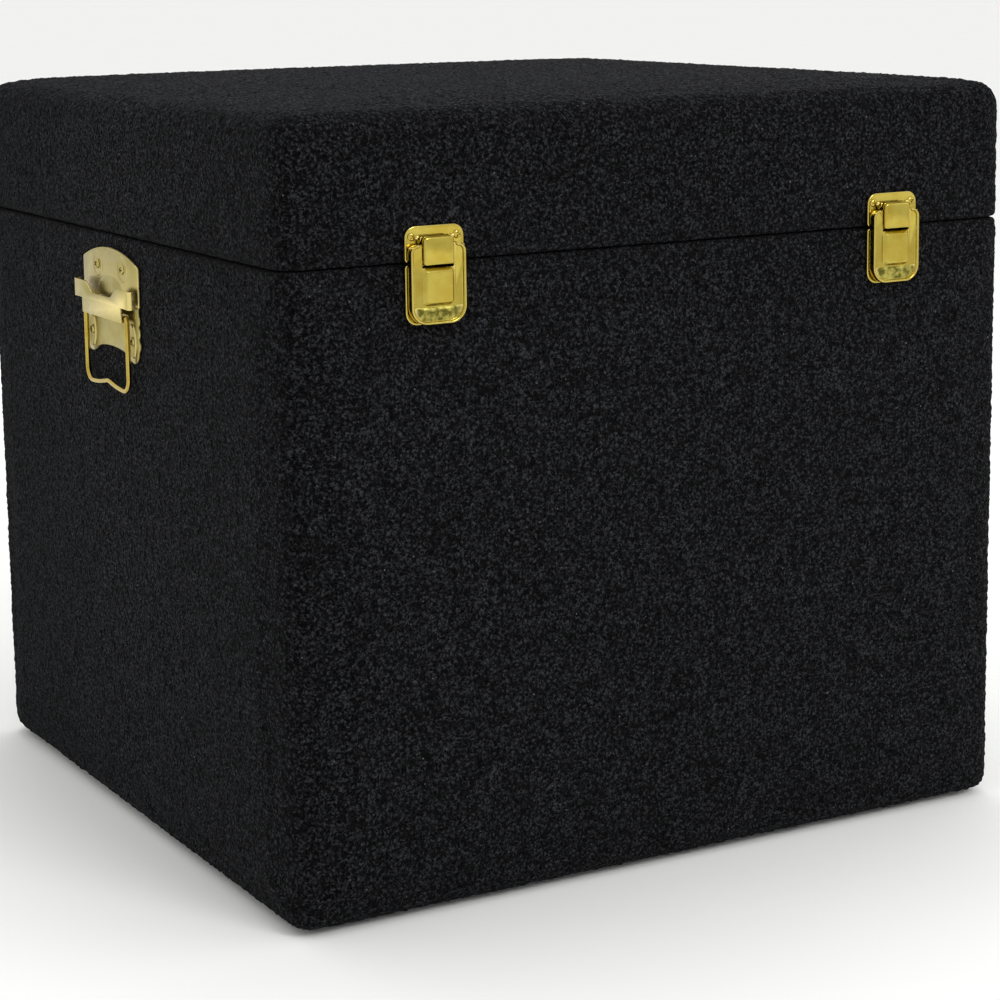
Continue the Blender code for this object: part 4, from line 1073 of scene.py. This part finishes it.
def ringBead(bm, put, x, up, radius, tall, face, rise):
    # A raised bead round a screw, where the plate was dished; tall stretches it upwards
    profile = [(radius + 0.7, face - 0.25), (radius + 0.35, face + rise * 0.45), (radius, face + rise),
               (radius - 0.5, face + rise * 0.95), (radius - 1.1, face + rise * 0.35),
               (radius - 1.6, face + 0.02), (radius - 1.8, face - 0.25)]
    turn = [2 * math.pi * i / 32 for i in range(32)]
    rings = [[put(x + r * math.cos(a), out, up + tall * r * math.sin(a)) for a in turn]
             for r, out in profile]
    loft(bm, rings + [rings[0]], caps=False)
    bmesh.ops.remove_doubles(bm, verts=bm.verts[:], dist=0.001 * mm)


def dome(bm, put, x, up, wide, tall, face, rise):
    # A soft swelling raised in the plate
    turn = [2 * math.pi * i / 40 for i in range(40)]
    rings = []
    for step in range(9):
        slope = math.radians(90 * step / 8.5)
        share, out = math.cos(slope), face - 0.3 + (rise + 0.3) * math.sin(slope)
        rings.append([put(x + wide * share * math.cos(a), out, up + tall * share * math.sin(a))
                      for a in turn])
    loft(bm, rings)


def makeTopPlate(side, put):
    s = handle
    rise = s["archTop"] - s["shoulderUp"]
    radius = (s["half"] ** 2 + rise ** 2) / (2 * rise)
    sweep = math.degrees(math.asin((s["half"] - 0.6) / radius))
    outline = [(s["half"], s["split"]), (s["half"], s["shoulderUp"] - 0.9)]
    outline += arcPoints(0, s["archTop"] - radius, radius, 90 - sweep, 90 + sweep, 27)
    outline += [(-s["half"], s["shoulderUp"] - 0.9), (-s["half"], s["split"])]
    bm = bmesh.new()
    pressed(bm, put, outline, [(0.15, s["back"]), (0, s["back"] + 0.15), (0, s["face"] - 0.3),
                               (0.12, s["face"] - 0.08), (0.35, s["face"])])
    for sign in (-1, 1):
        ringBead(bm, put, sign * s["topScrewX"], s["topScrewUp"], s["dimple"], 1.0, s["face"], 0.3)
    dome(bm, put, 0, -31.0, 19.0, 10.0, s["face"], 0.9)
    plate = makePiece(f"satin_top_plate_{side}", bm, satinBrass)
    attach(plate, "body", "satin_brass", f"handle_top_plate_{side}")


def makeFootPlate(side, put):
    s = handle
    edge, low = s["footEdge"], s["footLow"]
    right = [(9.0, low + 5.5), (16.0, low + 4.7), (21.5, low + 3.2), (25.0, low + 1.2)]
    right += arcPoints(edge - 8.5, low + 6.5, 6.5, -105, -20, 9)
    for lobe in range(3):
        right += arcPoints(edge - 4.0, -55.2 + 6.6 * lobe, 4.0, -50, 50, 8)
    right += [(edge - 1.6, s["split"] - 0.3)]
    outline = [(0, low + 5.8)] + right + [(-x, y) for x, y in reversed(right)]
    bm = bmesh.new()
    pressed(bm, put, outline, [(0.15, s["back"]), (0, s["back"] + 0.15), (0, s["face"] - 0.35),
                               (0.15, s["face"] - 0.1), (0.4, s["face"])])
    for sign in (-1, 1):
        ringBead(bm, put, sign * s["footScrewX"], s["footScrewUp"], 5.0, 1.75, s["face"], 0.7)
    plate = makePiece(f"satin_foot_plate_{side}", bm, satinBrass)
    attach(plate, "body", "satin_brass", f"handle_foot_plate_{side}")


def makeBracket(side, put):
    s = handle
    floor = s["bracketTop"] - s["notchDepth"]
    run = s["notchTop"] - s["notchFloor"]
    notch = []                        # the notch's flank is one smooth S
    for i in range(11):
        share = i / 10
        lift = s["notchDepth"] * (1 - math.cos(math.pi * share)) / 2
        notch.append((s["notchFloor"] + run * share, floor + lift))
    right = [(s["stem"], s["bracketBottom"]), (s["stem"], s["earBottom"] - 0.4)]
    right += arcPoints(s["stem"] + 0.9, s["earBottom"] - 0.9, 0.9, 180, 90, 4)[1:]
    right += [(s["bracketHalf"] - 1.4, s["earBottom"]), (s["bracketHalf"] - 1.4, s["bracketTop"])]
    outline = right + notch[::-1] + [(0, floor)]
    outline += [(-x, y) for x, y in reversed(right + notch[::-1])]
    back, front, sheet = s["front"] - s["sheet"], s["front"], s["sheet"]
    bm = bmesh.new()
    pressed(bm, put, outline, [(0.3, back), (0, back + 0.25), (0, front - 0.35), (0.12, front - 0.1),
                               (0.35, front)])
    middle = front - sheet / 2
    for sign in (-1, 1):
        # the ends curl back towards the wall
        x = s["bracketHalf"] - sheet / 2
        path = [(x - 2.4, middle)] + arcPoints(x - 1.5, middle - 1.5, 1.5, 90, 0, 6) + [(x, 3.7)]
        curl = strip([(sign * a, out) for a, out in path], sheet)
        rings = [[put(a, out, up) for a, out in shrink(curl, 0.0)]
                 for up in (s["earBottom"] + 0.03, s["bracketTop"] - 0.03)]
        loft(bm, rings)
        # knuckles rolled round the ends of the bail
        wire, out, up = s["wire"] + 0.75, s["bailOut"], s["bailUp"]
        roll = [(middle, -33.5), (middle, -38.5)] + arcPoints(out, up, wire, 0, -215, 15)
        ends = sorted((sign * s["saddleInner"], sign * s["saddleOuter"]))
        acrossPiece(bm, put, strip(roll, 0.85), ends[0], ends[1], 0.12)
        foot = [(1.4, -33.0), (3.1, -33.0), (4.6, -33.4), (middle, -34.2)]
        acrossPiece(bm, put, strip(foot, 1.0), ends[0], ends[1], 0.12)
    bracket = makePiece(f"satin_bracket_{side}", bm, satinBrass)
    attach(bracket, "body", "satin_brass", f"handle_bracket_{side}")


def makeBail(side, put):
    s = handle
    half, wire, up = s["bailHalf"], s["wire"], s["bailUp"]
    low = s["bailLow"] + wire
    right = [(s["stubEnd"], up), (s["stubEnd"] + 2.5, up)]
    right += arcPoints(half - s["bend"], up - s["bend"], s["bend"], 90, 0, 9)
    right += [(half, up + (low - up) * share) for share in (0.3, 0.5, 0.7)]
    right += arcPoints(half - s["corner"], low + s["corner"], s["corner"], 0, -90, 13)
    flat = half - s["corner"]
    for step in range(1, 13):
        x = flat * (1 - step / 12)
        blend = 1 - x / flat
        # a shallow valley each side of a rounded peak in the middle
        right.append((x, low + s["dent"] * (blend ** 1.8) * (1 - 0.12 * blend ** 8)))
    path = right + [(-x, y) for x, y in reversed(right[:-1])]
    bm = bmesh.new()
    tube(bm, [put(x, s["bailOut"], y) for x, y in path], wire * mm, 18)
    bail = makePiece(f"satin_bail_{side}", bm, brightWire, sharp=60)
    attach(bail, f"bail_{side}", "satin_brass", f"handle_bail_{side}")


for side, put in handleAt.items():
    makeTopPlate(side, put)
    makeFootPlate(side, put)
    makeBracket(side, put)
    makeBail(side, put)
print("handles done")


hinge = {
    "half": 18.0, "leaf": 26.0, "back": 0.3, "face": 1.5, "corner": 2.0,
    "barrel": 2.65, "barrelOut": 3.9, "pin": 1.15, "knuckles": 5,
    "screwX": 11.0, "screwUp": 16.0, "screwHead": 2.6,
}


def makeHingeLeaf(side, put, body, turn):
    # turn is -1 for the body's leaf, which hangs below the pin, and 1 for the lid's
    s = hinge
    bm = bmesh.new()
    low, high = (-s["leaf"], -3.1) if turn < 0 else (3.1, s["leaf"])
    ends = (s["corner"], 0.5) if turn < 0 else (0.5, s["corner"])
    outline = roundedRect(s["half"], low, high, ends[0], ends[1], 6)
    pressed(bm, put, outline, [(0.15, s["back"]), (0, s["back"] + 0.15), (0, s["face"] - 0.35),
                               (0.12, s["face"] - 0.1), (0.35, s["face"])])
    pitch = 2 * s["half"] / s["knuckles"]
    middle = (s["back"] + s["face"]) / 2
    curl = s["barrel"] - 0.6
    out = s["barrelOut"]
    start = 180 - math.degrees(math.acos((out - middle) / curl)) if out - middle < curl else 180
    path = [(middle, turn * 3.6), (middle + 0.1, turn * 2.4)]
    path += [(x, turn * y) for x, y in arcPoints(out, 0, curl, start, start - 300, 22)]
    knuckle = strip(path, 1.15)
    for number in range(0 if turn < 0 else 1, s["knuckles"], 2):
        left = -s["half"] + pitch * number + 0.12
        acrossPiece(bm, put, knuckle, left, left + pitch - 0.24, 0.1)
    leaf = makePiece(f"brass_hinge_{body}_leaf_{side}", bm, polishedBrass)
    attach(leaf, body, "polished_brass", f"hinge_{body}_leaf_{side}")


for side, put in hingeAt.items():
    makeHingeLeaf(side, put, "body", -1)
    makeHingeLeaf(side, put, "lid", 1)
    makePin(f"brass_hinge_pin_{side}", put, hinge["half"] - 0.1, hinge["barrelOut"], 0, hinge["pin"],
            "body", f"hinge_pin_{side}", 18)
print("hinges done")


screw = {"length": 5.0, "shank": 0.6, "recess": 0.7, "blade": 0.19, "seed": 7}


def makeScrewShape():
    # A cross-recess pan head one unit in radius on a tapered shank, its axis along +Z
    s = screw
    length, shank = s["length"], s["shank"]

    def flat(a, out, up):
        return Vector((a, up, out)) * mm

    bm = bmesh.new()
    turnedPiece(bm, flat, 0, 0, [(0.04, -length), (shank * 0.6, -length + 0.9), (shank, -length + 1.8),
                                 (shank, -0.02), (0.96, 0), (1.0, 0.06), (0.97, 0.16), (0.86, 0.3),
                                 (0.66, 0.4), (0.36, 0.45), (0.1, 0.46)], 28)
    head = makePiece("screw_shape", bm, polishedBrass)
    bm = bmesh.new()
    for wide, tall in ((s["recess"], s["blade"]), (s["blade"], s["recess"])):
        rings = []
        for share, out in ((0.5, -1.0), (1.0, 0.6)):
            x, y = (max(s["blade"] * 0.7, size * share) for size in (wide, tall))
            corners = ((-x, -y), (x, -y), (x, y), (-x, y))
            rings.append([Vector((*corner, out)) * mm for corner in corners])
        loft(bm, rings)
    cutter = makePiece("screw_recess", bm)
    cut = head.modifiers.new("recess", "BOOLEAN")
    cut.operation = "DIFFERENCE"
    cut.use_self = True
    cut.object = cutter
    plainMesh(head)
    shadeRound(head.data, 30)
    bpy.data.objects.remove(cutter)
    return head


def screwTree(head):
    # Geometry Nodes: one screw on every point, facing along its "out", turned by chance
    tree = newTree("screw set", Float=("Head Radius",), Int=("Seed",), Material=("Finish",))
    given = addNode(tree, "NodeGroupInput").outputs
    out = addNode(tree, "GeometryNodeInputNamedAttribute", {"Name": "out"}, "Attribute",
                  data_type="FLOAT_VECTOR")
    facing = addNode(tree, "FunctionNodeAlignRotationToVector", {"Vector": out}, 0, axis="Z")
    angle = addNode(tree, "FunctionNodeRandomValue", {2: 0.0, 3: math.pi, "Seed": given["Seed"]}, 1,
                    data_type="FLOAT")
    spin = addNode(tree, "FunctionNodeAxisAngleToRotation", {"Axis": (0, 0, 1), "Angle": angle}, 0)
    turned = addNode(tree, "FunctionNodeRotateRotation", {"Rotation": facing, "Rotate By": spin}, 0,
                     rotation_space="LOCAL")
    shape = addNode(tree, "GeometryNodeObjectInfo", {"Object": head}, "Geometry")
    placed = addNode(tree, "GeometryNodeInstanceOnPoints",
                     {"Points": given["Geometry"], "Instance": shape, "Rotation": turned,
                      "Scale": given["Head Radius"]}, 0)
    endTree(tree, placed, given["Finish"])
    return tree


def placeScrews(name, spots, radius, finish, body, slotName, *nodes):
    # spots are (fitting, across, out, up)
    mesh = bpy.data.meshes.new(name)
    mesh.from_pydata([put(a, out, up) for put, a, out, up in spots], [], [])
    layer = mesh.attributes.new("out", "FLOAT_VECTOR", "POINT")
    facing = [(put(0, 1, 0) - put(0, 0, 0)).normalized() for put, a, out, up in spots]
    layer.data.foreach_set("vector", [value for vector in facing for value in vector])
    piece = placeObject(name, mesh)
    useTree(piece, screwSet, headRadius=radius, seed=screw["seed"], finish=finish)
    shadeRound(piece.data, 30)
    attach(piece, body, slotName, *nodes)


screwShape = makeScrewShape()
screwSet = screwTree(screwShape)
keeperSpots = [(latchAt[side], sign * latch["screwX"], latch["face"], latch["screwUp"])
               for side, _ in sides for sign in (-1, 1)]
placeScrews("brass_keeper_screws", keeperSpots, latch["screwHead"], polishedBrass, "lid",
            "polished_brass", *[f"latch_keeper_screw_{side}_{i}" for side, _ in sides for i in (1, 2)])
baseSpots = [(latchAt[side], a, latch["face"], up) for side, _ in sides
             for a, up in latch["baseScrews"]]
placeScrews("brass_latch_base_screws", baseSpots, latch["screwHead"], polishedBrass, "body",
            "polished_brass")
handleSpots = [(handleAt[side], sign * a, handle["face"], up) for side, _ in sides
               for a, up in ((handle["topScrewX"], handle["topScrewUp"]),
                             (handle["footScrewX"], handle["footScrewUp"])) for sign in (-1, 1)]
placeScrews("satin_handle_screws", handleSpots, handle["screwHead"], satinBrass, "body",
            "satin_brass", *[f"handle_screw_{side}_{i}" for side, _ in sides for i in range(1, 5)])
for body, turn in (("body", -1), ("lid", 1)):
    hingeSpots = [(hingeAt[side], sign * hinge["screwX"], hinge["face"], turn * hinge["screwUp"])
                  for side, _ in sides for sign in (-1, 1)]
    placeScrews(f"brass_hinge_screws_{body}", hingeSpots, hinge["screwHead"], polishedBrass, body,
                "polished_brass")
bpy.data.objects.remove(screwShape)
print("screws done")


inside = {
    "hem": 14.0,                     # folded edge of the lining
    "hemStep": 0.5,                  # the fold stands this much proud
    "stitchDrop": 11.0,              # stitch line below the lining's edge
    "stitch": 2.8, "stitchPitch": 3.6, "thread": 0.3,
    "staple": 9.0, "staplePitch": 34.0, "wireOfStaple": 0.45,
    "hang": 1.6, "pucker": 0.15, "spunThick": 0.4,
}


def planOutline(node, inset, radius, count=6):
    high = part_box(node)[1] / mm
    deep = high.y - inset
    return roundedRect(high.x - inset, -deep, deep, radius, radius, count)


def levelLoft(bm, steps, caps=True):
    # steps are (outline in plan, height)
    rings = [[Vector((x, y, z)) * mm for x, y in outline] for outline, z in steps]
    if not caps:
        rings.append(rings[0])
    loft(bm, rings, caps)
    bmesh.ops.remove_doubles(bm, verts=bm.verts[:], dist=0.001 * mm)


def dashTree():
    # Geometry Nodes: a row of short rods along a line, for stitches and staples
    tree = newTree("row of dashes", Float=("Pitch", "Length", "Thickness", "Lean", "Spread"),
                   Int=("Seed",), Material=("Finish",))
    given = addNode(tree, "NodeGroupInput").outputs
    line = addNode(tree, "GeometryNodeMeshToCurve", {"Mesh": given["Geometry"]}, 0)
    spots = addNode(tree, "GeometryNodeCurveToPoints", {"Curve": line, "Length": given["Pitch"]},
                    mode="LENGTH").outputs
    along = addNode(tree, "FunctionNodeAlignRotationToVector", {"Vector": spots["Tangent"]}, 0,
                    axis="Z")
    chance = addNode(tree, "FunctionNodeRandomValue", {2: -1.0, 3: 1.0, "Seed": given["Seed"]}, 1,
                     data_type="FLOAT")
    angle = addNode(tree, "ShaderNodeMath", {0: chance, 1: given["Spread"], 2: given["Lean"]}, 0,
                    operation="MULTIPLY_ADD")
    lean = addNode(tree, "FunctionNodeAxisAngleToRotation",
                   {"Axis": spots["Normal"], "Angle": angle}, 0)
    turned = addNode(tree, "FunctionNodeRotateRotation", {"Rotation": along, "Rotate By": lean}, 0,
                     rotation_space="GLOBAL")
    rod = addNode(tree, "GeometryNodeMeshCylinder",
                  {"Vertices": 6, "Radius": given["Thickness"], "Depth": given["Length"]}, 0)
    placed = addNode(tree, "GeometryNodeInstanceOnPoints",
                     {"Points": spots["Points"], "Instance": rod, "Rotation": turned}, 0)
    endTree(tree, placed, given["Finish"])
    return tree


dashes = dashTree()


def makeDashes(name, outline, height, body, slotName, **values):
    points = [Vector((x, y, height)) * mm for x, y in outline]
    mesh = bpy.data.meshes.new(name)
    mesh.from_pydata(points, [(i, (i + 1) % len(points)) for i in range(len(points))], [])
    piece = placeObject(name, mesh)
    useTree(piece, dashes, **values)
    shadeRound(piece.data, 50)
    attach(piece, body, slotName)


def softRings(outline, low, high, count):
    # Level steps up a cloth wall, each a touch in or out, so that the cloth isn't dead flat
    chance = random.Random(11)
    return [(shrink(outline, chance.uniform(0, 0.25)), low + (high - low) * i / count)
            for i in range(count + 1)]


def hemStitches(name, fold, height, body, seed):
    s = inside
    makeDashes(name, shrink(fold, 0.1), height, body, "lining", pitch=s["stitchPitch"] * mm,
               length=s["stitch"] * mm, thickness=s["thread"] * mm, lean=0.0, spread=0.04,
               seed=seed, finish=threadCloth)


def makeLining():
    s = inside
    low, high = (corner.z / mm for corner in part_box("body_lining"))
    outer, inner = planOutline("body_lining", 0, 1.0), planOutline("body_lining", 1.3, 0.8)
    fold = planOutline("body_lining", 1.3 + s["hemStep"], 0.6)
    steps = [(outer, low), (outer, high - 0.5), (shrink(outer, 0.3), high - 0.1),
             (shrink(outer, 1.0), high), (fold, high - 0.5), (fold, high - s["hem"] + 0.3),
             (shrink(fold, -0.2), high - s["hem"])]
    steps += softRings(inner, low, high - s["hem"] - 0.2, 14)[::-1]
    bm = bmesh.new()
    levelLoft(bm, steps, caps=False)
    attach(makePiece("lining_of_body", bm, liningCloth), "body", "lining", "body_lining")
    hemStitches("hem_stitches_body", fold, high - s["stitchDrop"], "body", 3)


def makeLidLining():
    s = inside
    low, high = (corner.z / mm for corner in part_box("lid_lining"))
    outer, inner = planOutline("lid_lining", 0, 1.0), planOutline("lid_lining", 1.3, 0.8)
    fold = planOutline("lid_lining", 1.3 + s["hemStep"], 0.6)
    steps = [(outer, high - 0.3), (outer, low + 0.5), (shrink(outer, 0.3), low + 0.1),
             (shrink(outer, 1.0), low), (fold, low + 0.5), (fold, low + s["hem"] - 0.3),
             (shrink(fold, -0.2), low + s["hem"])]
    steps += [(inner, low + s["hem"] + 0.4), (shrink(inner, 0.2), (low + high) / 2 + 4)]
    steps += [(planOutline("lid_lining", inset, 0.8 + inset / 8), high - drop)
              for inset, drop in ((1.3, 4), (1.8, 2.4), (2.8, 1.8), (16, 2.2), (60, 2.7))]
    bm = bmesh.new()
    levelLoft(bm, steps)
    attach(makePiece("lining_of_lid", bm, liningCloth), "lid", "lining", "lid_lining")
    hemStitches("hem_stitches_lid", fold, low + s["stitchDrop"], "lid", 4)


def makeFloorPad():
    low, high = (corner.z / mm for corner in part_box("floor_pad"))
    rise = ((0.6, 0), (0, 0.8), (0, high - low - 2.4), (0.5, high - low - 1.2), (1.6, high - low - 0.4),
            (4.5, high - low), (14, high - low + 0.5), (40, high - low + 0.9), (90, high - low + 1.1))
    bm = bmesh.new()
    levelLoft(bm, [(planOutline("floor_pad", inset, 5.0 + inset * 0.2), low + z) for inset, z in rise])
    pad = makePiece("lined_floor_pad", bm, liningCloth, sharp=60)
    attach(pad, "body", "lining", "floor_pad")
    makeDashes("floor_pad_stitches", planOutline("floor_pad", 8.0, 5.0), high + 0.45, "body", "lining",
               pitch=5.0 * mm, length=3.6 * mm, thickness=0.35 * mm, lean=0.0, spread=0.05, seed=5,
               finish=threadCloth)


def makeFoam():
    low, high = (corner.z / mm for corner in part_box("lid_foam"))
    edge = high - cover["crown"]
    rise = ((2.3, low), (2.0, low + 0.4), (2.0, edge - 9.0), (3.2, edge - 6.2), (6.0, edge - 4.0),
            (11, edge - 2.6), (26, edge - 1.4), (60, edge - 0.4), (110, edge + 0.2))
    bm = bmesh.new()
    levelLoft(bm, [(planOutline("lid_foam", inset, 9.0), z) for inset, z in rise])
    foam = makePiece("seat_foam", bm, creamFoam, sharp=60)
    attach(foam, "lid", "foam", "lid_foam")


def makeGlides():
    # A nail-on glide, from the middle of its flat foot up over the dome and along the nail
    profile = [(6.5, 0.0), (8.0, 0.08), (9.0, 0.5), (9.8, 1.5), (10.0, 2.1), (9.9, 2.4), (9.6, 2.5),
               (1.25, 2.5), (1.2, 10.0), (0.1, 12.4)]

    def put(a, out, up):
        return Vector((a, up, out)) * mm

    for end in ("front", "back"):
        for side, _ in sides:
            node = f"glide_{end}_{side}"
            low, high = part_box(node)
            middle = (low + high) / 2 / mm
            bm = bmesh.new()
            turnedPiece(bm, put, middle.x, middle.y, profile, 40)
            attach(makePiece(f"nylon_{node}", bm, mouldedNylon), "body", "nylon", node)


def makeDustCover():
    # Spun cloth stapled taut under the bottom: it hangs a little, and puckers at each staple
    s = inside
    low, high = (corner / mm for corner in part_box("dust_cover"))
    wide, deep = high.x, high.y
    bm = bmesh.new()
    bmesh.ops.create_grid(bm, x_segments=56, y_segments=54, size=1.0)
    for vertex in bm.verts:
        x, y = vertex.co.x, vertex.co.y
        toEdge = min((1 - abs(x)) * wide, (1 - abs(y)) * deep)
        along = y * deep if (1 - abs(x)) * wide < (1 - abs(y)) * deep else x * wide
        pucker = s["pucker"] * math.cos(2 * math.pi * along / s["staplePitch"]) * math.exp(-toEdge / 14)
        hang = s["hang"] * (1 - x * x) * (1 - y * y)
        vertex.co = Vector((x * wide, y * deep, low.z + 0.2 - hang + pucker)) * mm
    sheet = makePiece("dust_cover_sheet", bm, spunCloth, sharp=60)
    thick = sheet.modifiers.new("thickness", "SOLIDIFY")
    thick.thickness = s["spunThick"] * mm
    thick.offset = 0
    plainMesh(sheet)
    attach(sheet, "body", "dust_cloth", "dust_cover")
    makeDashes("underside_staples", planOutline("dust_cover", 5.0, 6.0), low.z - 0.2, "body",
               "satin_brass", pitch=s["staplePitch"] * mm, length=s["staple"] * mm,
               thickness=s["wireOfStaple"] * mm, lean=0.0, spread=0.18, seed=9, finish=satinBrass)


def dressNodes():
    # The carcass keeps its own shapes and takes raw sawn board
    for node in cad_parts.values():
        if not node.hide_render:
            for place in node.material_slots:
                place.material = fibreboard


makeLining()
makeLidLining()
makeFloorPad()
makeFoam()
makeGlides()
makeDustCover()
dressNodes()
print("inside done")
